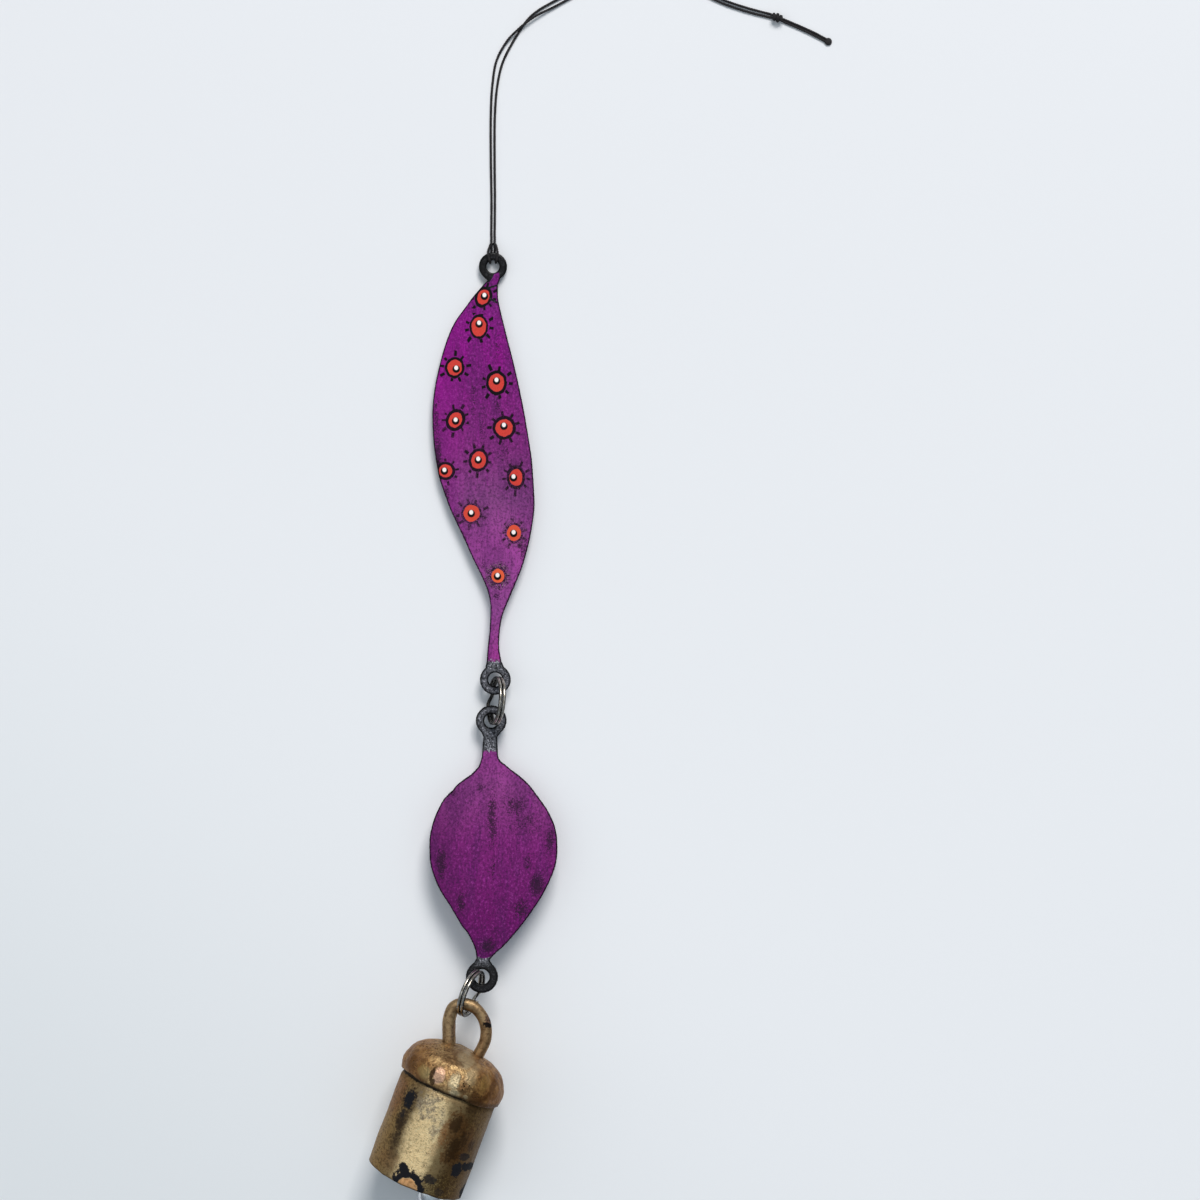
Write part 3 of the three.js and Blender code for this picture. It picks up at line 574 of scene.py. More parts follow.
class CHIME_OT_cord(bpy.types.Operator):
    """Twisted cord: two strands, the hitch round the top eye, the knot and its tails"""

    bl_idname = "chime.cord"
    bl_label = "Cord"

    def execute(self, context):
        size = sizes("chime_cord")
        material = cord_material()

        def strand(name, points, phase=0.0):
            piece = keep(wire_mesh(twisted(points, phase=phase), 1), name, "cord", material)
            return piece, cord_line(points)

        left, left_route = strand("cord_left_threads", cord_route(LEFT_STRAND))
        right, right_route = strand("cord_right_threads", cord_route(RIGHT_STRAND), 1.0)
        hitch, _ = strand("cord_hitch_threads", hitch_route(), 2.0)
        knot = self.knot(material)
        tail = self.tail(material)
        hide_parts("cord_hitch")
        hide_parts("cord_strand_left")
        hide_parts("cord_strand_right")
        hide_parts("cord_end_knot")
        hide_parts("cord_tail")
        path_length(left_route)
        path_length(right_route)
        return {"FINISHED"}

    def knot(self, material):
        """An overhand knot: the doubled cord wound round itself, pulled tight"""
        size = sizes("chime_cord")
        start = (Vector(LEFT_STRAND[-1]) + Vector(RIGHT_STRAND[-1])) / 2
        axis = (Vector(TAIL[0]) - start).normalized()
        across = Vector((-axis.y, axis.x, 0))
        middle = (start + Vector(TAIL[0])) / 2
        middle.z = KNOT_DIAMETER / 2 + TABLE_GAP
        wind = KNOT_DIAMETER / 2 - size.diameter / MM / 2 - 0.05
        strings = []
        for lane, phase in ((-0.5, 0.0), (0.5, 0.35)):
            points = []
            for i in range(KNOT_STEPS + 1):
                share = i / KNOT_STEPS
                angle = 2 * math.pi * KNOT_TURNS * share + phase
                swell = wind * (0.74 + 0.26 * math.sin(math.pi * share))
                along = (share - 0.5) * (KNOT_LENGTH - size.diameter / MM) + lane * KNOT_LANE
                points.append(from_layout(
                    middle + axis * along + across * (swell * math.cos(angle))
                    + Vector((0, 0, swell * math.sin(angle)))))
            strings += twisted(points, phase=phase)
        core = []
        for i in range(KNOT_CORE_STEPS + 1):
            share = i / KNOT_CORE_STEPS
            along = (share - 0.5) * (KNOT_LENGTH - 0.5)
            thick = wind * MM * (0.55 + 0.35 * math.sin(math.pi * share))
            core.append((from_layout(middle + axis * along), thick))
        for outer, end in self.leads():
            strings += twisted(cord_route([outer, end]) + [from_layout(middle)])
        return keep(wire_mesh(strings + [core], 1), "cord_knot_threads", "cord", material)

    def leads(self):
        """Where the strands and the tails run into the knot, each from a little outside its end"""
        found = []
        for strand in (LEFT_STRAND, RIGHT_STRAND):
            end = Vector(strand[-1])
            back = (Vector(strand[-2]) - end).normalized()
            found.append((end + back * LEAD_OVERLAP, end))
        ahead = (Vector(TAIL[1]) - Vector(TAIL[0])).normalized()
        across = Vector((-ahead.y, ahead.x, 0))
        apart = sizes("chime_cord").diameter / MM * TAIL_SPACING
        for lane in (-0.5, 0.5):
            end = Vector(TAIL[0]) + across * lane * apart
            found.append((end + ahead * LEAD_OVERLAP, end))
        return found

    def tail(self, material):
        """The two ends beyond the knot, side by side, melted into one flat bead"""
        size = sizes("chime_cord")
        points = [Vector(p) for p in TAIL]
        strings = []
        for lane in (-0.5, 0.5):
            moved = []
            for i, point in enumerate(points):
                ahead = points[min(i + 1, len(points) - 1)] - points[max(i - 1, 0)]
                across = Vector((-ahead.y, ahead.x, 0)).normalized()
                apart = size.diameter / MM * (TAIL_SPACING + 0.10 * i / 3)
                moved.append(tuple(point + across * lane * apart))
            strings += twisted(cord_route(moved), TAIL_THICKNESS)
        bm = wire_bmesh(strings, 1)
        bead = bmesh.ops.create_icosphere(bm, subdivisions=4, radius=TAIL_END_WIDTH / 2 * MM)["verts"]
        middle = from_layout(TAIL[-1]) + Vector((0, 0, size.diameter / 2 + TABLE_GAP * MM))
        for vert in bead:
            rough = noise.fractal(vert.co * 900, 0.8, 2.0, 3) * 0.09 * MM
            vert.co += vert.co.normalized() * (rough - 0.06 * MM)
            vert.co.z *= 0.32
        bmesh.ops.translate(bm, vec=middle, verts=bead)
        return keep(from_bmesh(bm), "cord_tail_threads", "cord", material)


# Leaves: marks on the upper leaf in pixels of the photograph, each a place, half axes, tilt in degrees,
# ring width, wear, the glint's offset and the turn of its rays
DOTS = [
    (483.4, 297.0, 6.0, 7.9, -25, 2.6, 0.00, 1.0, -2.0, 10),
    (478.8, 326.7, 7.5, 10.0, 0, 2.0, 0.00, 0.3, -4.0, 5),
    (454.7, 367.6, 7.5, 8.0, -10, 2.4, 0.00, 1.5, 0.2, 28),
    (496.5, 382.7, 7.9, 9.3, 0, 2.8, 0.00, 0.0, -2.9, 2),
    (455.5, 420.0, 6.7, 8.0, -25, 3.0, 0.05, 0.1, -0.3, 17),
    (504.2, 427.9, 8.6, 8.9, 0, 2.9, 0.08, -0.3, -3.0, 22),
    (478.6, 460.2, 7.5, 8.9, -8, 2.6, 0.12, -0.4, -1.4, 12),
    (445.6, 470.9, 6.9, 6.6, 0, 2.6, 0.10, -1.2, -1.1, 33),
    (516.0, 477.3, 6.6, 8.8, 0, 3.0, 0.30, -2.5, -0.8, 8),
    (471.5, 513.3, 8.4, 8.5, 0, 1.9, 0.62, -0.3, -1.0, 15),
    (514.0, 533.0, 7.3, 8.1, 0, 1.9, 0.72, -0.4, -0.8, 26),
    (497.8, 575.9, 6.6, 7.3, 0, 2.2, 0.95, -0.3, -0.8, 0),
]
RAY_COUNT = 9
# Scuffs: place, half axes and strength
UPPER_SCUFFS = [
    (436, 420, 5, 30, 0.55), (438, 455, 5, 26, 0.75), (446, 500, 4, 20, 0.7), (455, 520, 7, 10, 0.6),
    (497, 350, 3, 20, 0.45), (473, 395, 4, 30, 0.4), (498, 405, 4, 10, 0.55), (482, 430, 5, 36, 0.4),
    (503, 452, 10, 18, 0.4), (462, 540, 5, 10, 0.5), (484, 566, 4, 5, 0.5), (523, 545, 7, 14, 0.55),
    (496, 596, 4, 4, 0.7), (500, 452, 3, 30, 0.35), (480, 660, 12, 8, 0.6), (512, 590, 6, 8, 0.35),
]
LOWER_SCUFFS = [
    (492, 820, 5, 30, 0.72), (515, 806, 14, 12, 0.6), (526, 822, 20, 14, 0.45), (550, 840, 6, 16, 0.7),
    (441, 862, 6, 18, 0.75), (537, 884, 8, 13, 0.85), (522, 910, 9, 13, 0.65), (461, 904, 5, 14, 0.7),
    (488, 946, 9, 9, 0.75), (481, 788, 5, 6, 0.55), (453, 793, 5, 6, 0.5), (493, 868, 3, 14, 0.5),
    (545, 792, 6, 10, 0.4), (528, 862, 5, 12, 0.5), (495, 933, 6, 8, 0.4),
]

# Eye holes: place, and how many millimetres they are opened, which fades out between two distances
UPPER_HOLES = [(495.3, 679.7, 0.38), (493, 266.5, 0.40)]
LOWER_HOLES = [(491.3, 720.5, 0.42), (481.8, 976.7, 0.30)]
HOLE_FADE = (7.0, 14.0)
# The cut edge: width of its uneven band and how far it is pushed out, in millimetres
EDGE_BAND = 1.2
EDGE_PUSH = 0.07
OUTLINE_SPACING = 0.2 * MM
# Without a seed the vector noise follows the clock, and each run would give other edges
NOISE_SEED = 7


def blob(px, py, marks):
    """How strongly the listed marks cover a pixel's place"""
    best = 0.0
    for x, y, wide, high, strength in marks:
        away = ((px - x) / wide) ** 2 + ((py - y) / high) ** 2
        if away < 4:
            best = max(best, strength * math.exp(-away * 0.9))
    return best


def ramped(value, low, high):
    """0 below low and 1 above high, with a smooth rise between"""
    share = min(max((value - low) / (high - low), 0.0), 1.0)
    return share * share * (3 - 2 * share)


def to_pixel(point):
    """The photograph's pixel in which a point of the scene shows"""
    scale = PHOTO_MM_PER_PIXEL * MM * (1 - point.z / CAMERA_HEIGHT)
    right = (point.x - PHOTO_CENTRE.x) / scale
    up = (point.y - PHOTO_CENTRE.y) / scale
    return (PHOTO_MIDDLE + right, PHOTO_MIDDLE - up)


def cad_shape(node):
    """A merged copy of a solid's mesh, in place"""
    source = bpy.data.objects[node]
    bm = bmesh.new()
    bm.from_mesh(source.data)
    bmesh.ops.transform(bm, matrix=source.matrix_world, verts=bm.verts)
    bmesh.ops.remove_doubles(bm, verts=bm.verts, dist=2e-6)
    return bm


def outline_tree(bm):
    """Points along the cut edge of a sheet, for distances from it"""
    points = []
    for edge in bm.edges:
        if any(abs(face.normal.z) < 0.3 for face in edge.link_faces):
            a, b = (vert.co for vert in edge.verts)
            count = max(1, math.ceil((b - a).length / OUTLINE_SPACING))
            points += [a.lerp(b, i / count) for i in range(count)]
    tree = KDTree(len(points))
    for i, point in enumerate(points):
        tree.insert((point.x, point.y, 0), i)
    tree.balance()
    return tree


def grained(bm, grain):
    """The same solid with an even mesh and slightly rounded edges"""
    mesh = from_bmesh(bm)
    holder = bpy.data.objects.new("grain", mesh)
    bpy.context.scene.collection.objects.link(holder)
    modifier = holder.modifiers.new("grain", "REMESH")
    modifier.mode = "VOXEL"
    modifier.voxel_size = grain
    dense = evaluated(holder)
    bpy.data.objects.remove(holder)
    bpy.data.meshes.remove(mesh)
    bm = bmesh.new()
    bm.from_mesh(dense)
    bpy.data.meshes.remove(dense)
    for _ in range(2):
        bmesh.ops.smooth_vert(
            bm, verts=bm.verts, factor=0.5, use_axis_x=True, use_axis_y=True, use_axis_z=True)
    return bm


def leaf_mesh(node, scuffs, blackness, holes, dots=()):
    """A leaf with an even grain, and what its paint reads at each point"""
    noise.seed_set(NOISE_SEED)
    size = sizes("chime_leaf")
    bm = cad_shape(node)
    bm.normal_update()
    tree = outline_tree(bm)
    bm = grained(bm, size.grain)
    edge_layer = bm.verts.layers.float.new("edge")
    scuff_layer = bm.verts.layers.float.new("scuff")
    black_layer = bm.verts.layers.float.new("black")
    layers = [bm.verts.layers.float_vector.new(name) for name in ("dot", "glint", "rays")] if dots else []
    for vert in bm.verts:
        place = vert.co
        nearest, _, away = tree.find((place.x, place.y, 0))
        away /= MM
        px, py = to_pixel(place)
        for hole_x, hole_y, less in holes:
            out = Vector((px - hole_x, hole_y - py, 0))
            vert.co -= out.normalized() * less * MM * (1 - ramped(out.length, *HOLE_FADE))
        vert[edge_layer] = away
        vert[scuff_layer] = blob(px, py, scuffs)
        vert[black_layer] = blackness(px, py)
        if dots:
            mark_point(vert, px, py, layers)
        slow = noise.noise(place * 45)
        quick = noise.noise(place * 220 + Vector((3, 7, 1)))
        rim = 1 - ramped(away, 0.0, EDGE_BAND)
        wander = noise.noise_vector(place * 160)
        outward = Vector((nearest.x - place.x, nearest.y - place.y, 0))
        vert.co += Vector((wander.x, wander.y, 0)) * rim * size.dent * 0.9
        vert.co += outward.normalized() * rim * EDGE_PUSH * MM
        vert.co.z += size.dent * (slow * 0.8 + quick * 0.25)
    return from_bmesh(bm)


def mark_point(vert, px, py, layers):
    """Where a point lies against its nearest dot: in half axes, from the glint and among the rays"""
    nearest, second = sorted(DOTS, key=lambda dot: (px - dot[0]) ** 2 + (py - dot[1]) ** 2)[:2]
    x, y, wide, high, tilt, ring, wear, glint_x, glint_y, turn = nearest
    margin = math.hypot(px - second[0], py - second[1]) - math.hypot(px - x, py - y)
    across = px - x
    up = y - py
    cosine = math.cos(math.radians(-tilt))
    sine = math.sin(math.radians(-tilt))
    u = (across * cosine - up * sine) / wide
    v = (across * sine + up * cosine) / high
    near = (1 - ramped(math.hypot(u, v), 2.35, 2.7)) * ramped(margin, 2.0, 5.0)
    angle = math.radians(turn)
    mean = (wide + high) / 2
    vert[layers[0]] = Vector((u, v, near))
    vert[layers[1]] = Vector((across - glint_x, up + glint_y, wear))
    vert[layers[2]] = Vector((
        (across * math.cos(angle) - up * math.sin(angle)) / mean,
        (across * math.sin(angle) + up * math.cos(angle)) / mean, ring / mean))


def upper_black(px, py):
    """Black paint on the upper leaf: its eye, the neck's left, the lower end and two strokes"""
    eye = 1 - ramped(math.hypot(px - 493, py - 266.5), 14.5, 16.5)
    neck = (1 - ramped(px + (py - 270) * 0.15, 490.5, 493.0)) * (1 - ramped(py, 280, 285))
    tip = ramped(px + (py - 275) * 0.7, 493.5, 495.5) * ramped(py, 272, 274.5)
    tip *= 1 - ramped(px, 499, 500.5)
    far = ramped(py, 651, 671)
    strokes = max(
        stroke(px, py, (488.5, 288.0), (495.8, 285.6)), stroke(px, py, (490.0, 298.6), (496.6, 302.4)))
    return max(min(eye, 1 - tip * 0.9), neck, far, strokes)


def stroke(px, py, start, end):
    """How strongly one brush stroke covers a pixel's place"""
    along = (end[0] - start[0], end[1] - start[1])
    share = ((px - start[0]) * along[0] + (py - start[1]) * along[1]) / (along[0] ** 2 + along[1] ** 2)
    share = min(max(share, 0.0), 1.0)
    away = math.hypot(px - start[0] - along[0] * share, py - start[1] - along[1] * share)
    return 1 - ramped(away, 0.5, 1.5)


def lower_black(px, py):
    """Black paint on the lower leaf: its stem and its lower eye"""
    stem = 1 - ramped(py, 743, 759)
    eye = ramped(py + abs(px - 484) * 0.35, 957, 961)
    return max(stem, eye)


def dotted(graph, base, fine):
    """Rayed dots: an orange-red disc in a black ring, a dark middle with a white glint, short rays"""
    u, v, near = graph.split(graph.local("dot"))
    glint_x, glint_y, wear = graph.split(graph.local("glint"))
    ray_x, ray_y, ring = graph.split(graph.local("rays"))
    wobble = (graph.noise(graph.pixels(), 0.22, detail=1.0) - 0.5) * 0.22
    brushed = (graph.noise(graph.pixels(), 0.35, detail=2.0) - 0.5) * 0.5
    out = (u * u + v * v) ** 0.5 + wobble
    here = near.step(0.4, 0.6)
    angle = ray_y.math("ARCTAN2", ray_x)
    turn = angle * (RAY_COUNT / (2 * math.pi)) + 0.5
    cell = turn.math("FLOOR")
    random = graph.add("ShaderNodeTexWhiteNoise", {"noise_dimensions": "2D"}, {
        "Vector": graph.join(cell, wear * 31.0, ring * 57.0)})
    chance = Value(graph, random.outputs["Value"])
    other = graph.split(random.outputs["Color"])[1]
    away = abs(turn - cell - 0.5 + (other - 0.5) * 0.3) * (2 * math.pi / RAY_COUNT) * out
    start = ring + 0.93 + chance * 0.30
    stop = start + 0.38 + other * 0.36
    rays = (away + brushed * 0.12 - chance * 0.05).step(0.185, 0.105)
    rays = rays * (out - start).step(-0.03, 0.03) * (out - stop).step(0.04, -0.04)
    rim = (out - ring - 1.0 - brushed * 0.35).step(0.06, -0.04) * out.step(0.93, 1.0)
    speckle = fine.step(0.42, 0.62)
    kept = 1 - (wear * 1.25).clamp() * speckle
    halo = (out - ring - 1.5).step(0.45, -0.35) * out.step(0.96, 1.02) * (wear - 0.45).clamp() * 1.6
    worn = halo * graph.noise(graph.pixels(), 0.62, detail=3.0).step(0.47, 0.56)
    colour_now = graph.mix(worn * here * 0.85, base, seen(30, 25, 30))
    pale = halo * graph.noise(graph.pixels(), 1.1, detail=2.0).step(0.55, 0.66) * (wear - 0.3).clamp() * 1.4
    colour_now = graph.layers(
        colour_now,
        (pale * here, seen(176, 150, 150)),
        ((rays + rim).clamp() * kept * here, seen(14, 10, 14)))
    disc = out.step(1.0, 0.93) * here
    orange = graph.mix(fine.step(0.3, 0.8), seen(214, 66, 56), seen(186, 58, 50))
    orange = graph.mix(wear.step(0.5, 0.9), orange, seen(224, 92, 58))
    colour_now = graph.mix(disc, colour_now, orange)
    pupil = (glint_x * glint_x + (glint_y + 1.3) * (glint_y + 1.3)) ** 0.5
    colour_now = graph.mix(pupil.step(4.1, 3.4) * here, colour_now, seen(10, 7, 9))
    glint = (glint_x * glint_x + glint_y * glint_y * 0.8) ** 0.5
    return graph.mix(glint.step(2.35, 1.6) * here, colour_now, seen(250, 238, 234))


def leaf_material(name, base_stops, low, high, dark, bright, veil, gloss, shade, dots=False):
    """Worn purple paint over black: dry-brushed streaks, scuffs, a black edge and black eyes"""
    graph = Graph(name, Specular_IOR_Level=0.08, Coat_Roughness=0.22)
    pixels = graph.pixels()
    x, y, _ = graph.split(pixels)
    streaks = graph.noise(graph.stretched(pixels, (0.42, 0.028, 0.3)), 1.0, detail=5.0, roughness=0.6)
    wide = graph.noise(graph.stretched(pixels, (0.07, 0.012, 0.1)), 1.0, detail=2.0)
    fine = graph.noise(pixels, 0.75, detail=3.0, roughness=0.65)
    mottle = graph.noise(pixels, 0.3, detail=5.0, roughness=0.65)
    along = ((y - low) / (high - low)).clamp()
    brush = graph.noise(graph.stretched(pixels, (1.1, 0.085, 0.5)), 1.0, detail=4.0, roughness=0.7)
    pebble = graph.noise(graph.stretched(pixels, (0.48, 0.38, 0.6)), 1.0, detail=4.0, roughness=0.75)
    base = graph.ramp(along, base_stops)
    base = graph.layers(
        base,
        (wide.step(0.38, 0.66) * 0.45, dark),
        (streaks.step(0.50, 0.70) * 0.38, dark),
        (streaks.step(0.44, 0.26) * 0.45, bright),
        (brush.step(0.50, 0.68) * 0.30, seen(52, 16, 56)),
        (pebble.step(0.50, 0.60) * 0.60, seen(60, 20, 62)),
        (pebble.step(0.46, 0.36) * 0.35, seen(176, 74, 166)),
        (fine.step(0.60, 0.76) * veil, seen(168, 112, 168)))
    scuff = graph.amount("scuff")
    scuffed = (scuff * 1.1 + fine * 2.2 + mottle * 0.9 - 1.90).step(0.0, 0.36)
    # A tone over the left side: painted shade darkens the lower leaf there, a brighter magenta tints the
    # upper leaf
    start, end, strength, shade_tone = shade
    base = graph.layers(
        base,
        (x.step(start, end) * strength, shade_tone),
        (scuffed * 0.80, seen(34, 20, 36)))
    if dots:
        base = dotted(graph, base, fine)
    edge = graph.amount("edge")
    line = (edge + (mottle - 0.5) * 0.7).step(0.60, 0.24)
    base = graph.mix(line * 0.97, base, seen(10, 5, 11))
    black = graph.amount("black")
    covered = (black + (mottle - 0.5) * 0.5 + (fine - 0.5) * 0.9).step(0.38, 0.56)
    flecks = fine.step(0.50, 0.66) * (edge + mottle * 0.8 - 0.4).step(0.5, 1.1)
    shine = y.step(*gloss)
    flecks = flecks * (1 - shine * 0.85)
    glossy = shine * covered
    dusty = 1 - glossy
    grey = graph.mix(dusty, seen(8, 7, 9), seen(80, 81, 86))
    grey = graph.layers(
        grey,
        (flecks * 0.85, seen(196, 194, 204)),
        (pebble.step(0.49, 0.57) * 0.82, seen(18, 17, 20)),
        ((edge + (mottle - 0.5) * 0.5).step(0.55, 0.25), seen(10, 9, 11)))
    base = graph.mix(covered, base, grey)
    rough = 0.50 + fine * 0.25 - glossy * 0.25
    height = fine * 0.5 + streaks * 0.6 + brush * 0.5 + mottle * 0.4
    return graph.finish(
        Base_Color=base, Roughness=rough, Coat_Weight=glossy * 0.15,
        Normal=graph.bump(height, 0.35, 0.00012))


class CHIME_OT_leaves(bpy.types.Operator):
    """Two leaves cut from sheet and painted by hand"""

    bl_idname = "chime.leaves"
    bl_label = "Leaves"

    def execute(self, context):
        # Upper leaf's paint from top to bottom: paler and pinker towards its lower end, worn paint with a
        # painted sheen over it
        upper_stops = [
            (0.0, seen(128, 22, 124)), (0.22, seen(138, 14, 128)), (0.45, seen(128, 42, 118)),
            (0.58, seen(130, 66, 124)), (0.70, seen(162, 70, 150)), (0.88, seen(150, 74, 144)),
            (1.0, seen(156, 54, 138))]
        # Lower leaf's paint from top to bottom: lighter at its top and darker towards its lower end,
        # painted light and shade of the tilted leaf
        lower_stops = [
            (0.0, seen(148, 56, 136)), (0.18, seen(142, 62, 130)), (0.45, seen(122, 32, 110)),
            (0.8, seen(102, 14, 92)), (1.0, seen(86, 11, 80))]
        upper_paint = leaf_material(
            "worn purple paint with dots", upper_stops, 275, 660,
            dark=seen(84, 30, 90), bright=seen(156, 18, 148), veil=0.22,
            gloss=(330, 312), shade=(474, 448, 0.24, seen(156, 4, 142)), dots=True)
        lower_paint = leaf_material(
            "worn purple paint", lower_stops, 745, 960,
            dark=seen(78, 26, 82), bright=seen(146, 24, 138), veil=0.20,
            gloss=(956, 964), shade=(474, 444, 0.28, seen(52, 12, 54)))
        upper = leaf_mesh("upper_leaf", UPPER_SCUFFS, upper_black, UPPER_HOLES, DOTS)
        lower = leaf_mesh("lower_leaf", LOWER_SCUFFS, lower_black, LOWER_HOLES)
        keep(upper, "upper_leaf_painted", "upper_leaf", upper_paint, ["upper_leaf"])
        keep(lower, "lower_leaf_painted", "lower_leaf", lower_paint, ["lower_leaf"])
        return {"FINISHED"}


# Split rings
RING_STEP_HALF_ANGLE = math.radians(16)
RING_END_GAP_ANGLE = math.radians(4)
RING_STEPS = 260


def ring_frame(joint):
    """A split ring's own frame: along the chain, up, and its axle"""
    axle = joint_axis(joint)
    along = Vector((-axle.y, axle.x, 0)).normalized()
    up = axle.cross(along)
    place = joint_place(joint)
    return frame_of(along, up, axle, place)


def ring_material():
    """Dulled steel with dark spots, both sides of each turn darkened as painted shade, and painted shadow
    low down
    """
    size = sizes("chime_ring")
    graph = Graph("plated ring steel", metallic=1.0)
    place = graph.local()
    _, _, across = graph.split(place)
    patches = graph.noise(place, 0.9, detail=4.0)
    fine = graph.noise(place, 6.0, detail=3.0)
    off_middle = abs(abs(across) - size.pitch / 2 / MM) / (size.wire / 2 / MM)
    tone = graph.mix(patches.step(0.42, 0.62), tuple(size.colour), (0.27, 0.235, 0.19))
    # Dark spots, then both sides of each turn darkened as painted shade
    tone = graph.layers(
        tone,
        (fine.step(0.58, 0.75) * 0.6, (0.10, 0.085, 0.07)),
        (off_middle.step(0.35, 0.85), (0.018, 0.016, 0.016)))
    # Painted shadow: the ring's parts low down near the table darkened almost to black
    _, _, height = graph.split(graph.place())
    tone = graph.mix(height.step(6.5, 3.5) * 0.9, tone, (0.010, 0.010, 0.011))
    rough = 0.16 + patches * 0.2
    return graph.finish(Base_Color=tone, Roughness=rough, Normal=graph.bump(fine, 0.25, 0.00005))


class CHIME_OT_rings(bpy.types.Operator):
    """Two split rings, each of two turns of steel wire"""

    bl_idname = "chime.rings"
    bl_label = "Split rings"

    def execute(self, context):
        material = ring_material()
        for name, body, node, joint in (
            ("middle_ring_wire", "middle_ring", "middle_split_ring", "lower_leaf_tilt"),
            ("lower_ring_wire", "lower_ring", "lower_split_ring", "bell_tilt"),
        ):
            keep(self.wire(ring_frame(joint)), name, body, material, [node])
        return {"FINISHED"}

    def wire(self, frame_now):
        size = sizes("chime_ring")
        radius = (size.diameter - size.wire) / 2
        half = RING_STEP_HALF_ANGLE
        trim = half + RING_END_GAP_ANGLE
        string = []
        for i in range(RING_STEPS + 1):
            angle = trim + (4 * math.pi - 2 * trim) * i / RING_STEPS
            across = ramped(angle, 2 * math.pi - half, 2 * math.pi + half)
            around = angle - math.pi / 2
            place = Vector((
                radius * math.cos(around), radius * math.sin(around), size.pitch * (across - 0.5)))
            string.append((place, size.wire / 2))
        bm = wire_bmesh([string], 5)
        store_place(bm)
        return from_bmesh(bm, frame_now)


# Bell: x to the right, y up its axis from the cap's edge, z out of the table, in millimetres
BELL_HEADING = math.radians(20.8)
SEAT_GAP = 0.3
MOUTH_SLOPE = 0.04
MOUTH_FRONT_SLOPE = 0.05
CAP_TILT = math.radians(-3.2)
DOME = [(1, 0.26), (0.955, 0.5), (0.86, 0.68), (0.71, 0.82), (0.5, 0.92), (0.25, 0.98), (0, 1)]
BAIL_BAR = 3.7
BAIL_THICKNESS = 3.1
BAIL_HALF_WIDTH = 5.95
BAIL_HEIGHT = 14.2
BAIL_FOOT_HALF_WIDTH = 5.0
BAIL_FOOT_DEPTH = 3.4
BAIL_LEAN = math.radians(21.5)
STAPLE_WIRE = 1.6
STAPLE_HALF_WIDTH = 3.2
STAPLE_DROP = 6.4
HOOK_WIRE = 1.4
HOOK_EYE_RADIUS = 2.2
BOB_RADIUS = 4.5
BOB_LENGTH = 10.5
BOB_PAST_MOUTH = 8.6
CLAPPER_SWING = math.radians(13.8)
LAP_PLACE = math.radians(152)
LAP_RISE = math.radians(14)
BODY_SEGMENTS = 200
CAP_SEGMENTS = 220
BOB_SEGMENTS = 48
HOOK_EYE_OPENING = math.radians(28)
HOOK_EYE_STEPS = 14
HOOK_IN_BOB = 3.2
BOB_SOCKET = 3.5
WIRE_SPACING = 0.3 * MM


def row_centre(points, reach, low, high):
    """The middle of the points between two places along a direction"""
    row = [point for point in points if low <= point.dot(reach) <= high]
    return sum(row, Vector()) / len(row)


def bell_frame():
    """The bell's own frame, found on its solid body, in metres"""
    body = bpy.data.objects["bell_body"]
    turned = (body.matrix_world @ vert.co for vert in body.data.vertices)
    points = [Vector(corner) for corner in {tuple(round(value, 7) for value in point) for point in turned}]
    up = Vector((math.sin(BELL_HEADING), math.cos(BELL_HEADING), 0))
    for _ in range(5):
        places = [point.dot(up) for point in points]
        top = max(places)
        bottom = min(places)
        neck = row_centre(points, up, top - 2.3 * MM, top)
        mouth = row_centre(points, up, bottom, (top + bottom) / 2)
        up = (neck - mouth).normalized()
    side = up.cross(Vector((0, 0, 1))).normalized()
    out = side.cross(up)
    size = sizes("chime_bell")
    place = mouth + up * size.length
    return frame_of(side, up, out, place)


def cap_radius():
    size = sizes("chime_bell")
    share = size.shoulder / (size.shoulder + size.in_cap)
    narrowed = 1 + (size.neck / size.radius - 1) * share
    return ((size.radius + size.lap) * narrowed + size.cap_wall) / MM + SEAT_GAP


def spun(profile, segments, closed):
    """A solid of revolution about y from (radius, height) points in millimetres"""
    bm = bmesh.new()
    verts = [bm.verts.new((radius * MM, height * MM, 0)) for radius, height in profile]
    edges = [bm.edges.new(pair) for pair in zip(verts, verts[1:])]
    if closed:
        edges.append(bm.edges.new((verts[-1], verts[0])))
    bmesh.ops.spin(
        bm, geom=verts + edges, cent=(0, 0, 0), axis=(0, 1, 0), angle=2 * math.pi, steps=segments,
        use_merge=True, use_normal_flip=False)
    bmesh.ops.remove_doubles(bm, verts=bm.verts, dist=2e-7)
    bmesh.ops.dissolve_degenerate(bm, edges=bm.edges, dist=1e-7)
    bmesh.ops.recalc_face_normals(bm, faces=bm.faces)
    return bm


def profile_of(spread, points, spacing):
    """Points along a profile, spread by evenly or by smooth_path"""
    return [(p.x, p.y) for p in spread([Vector((x, y, 0)) for x, y in points], spacing)]


def bent_wire(points, thickness, frame_now):
    """One wire along points in millimetres, put into a frame"""
    route = smooth_path([Vector(point) * MM for point in points], WIRE_SPACING)
    bm = wire_bmesh([[(point, thickness / 2 * MM) for point in route]], 4)
    return from_bmesh(bm, frame_now)


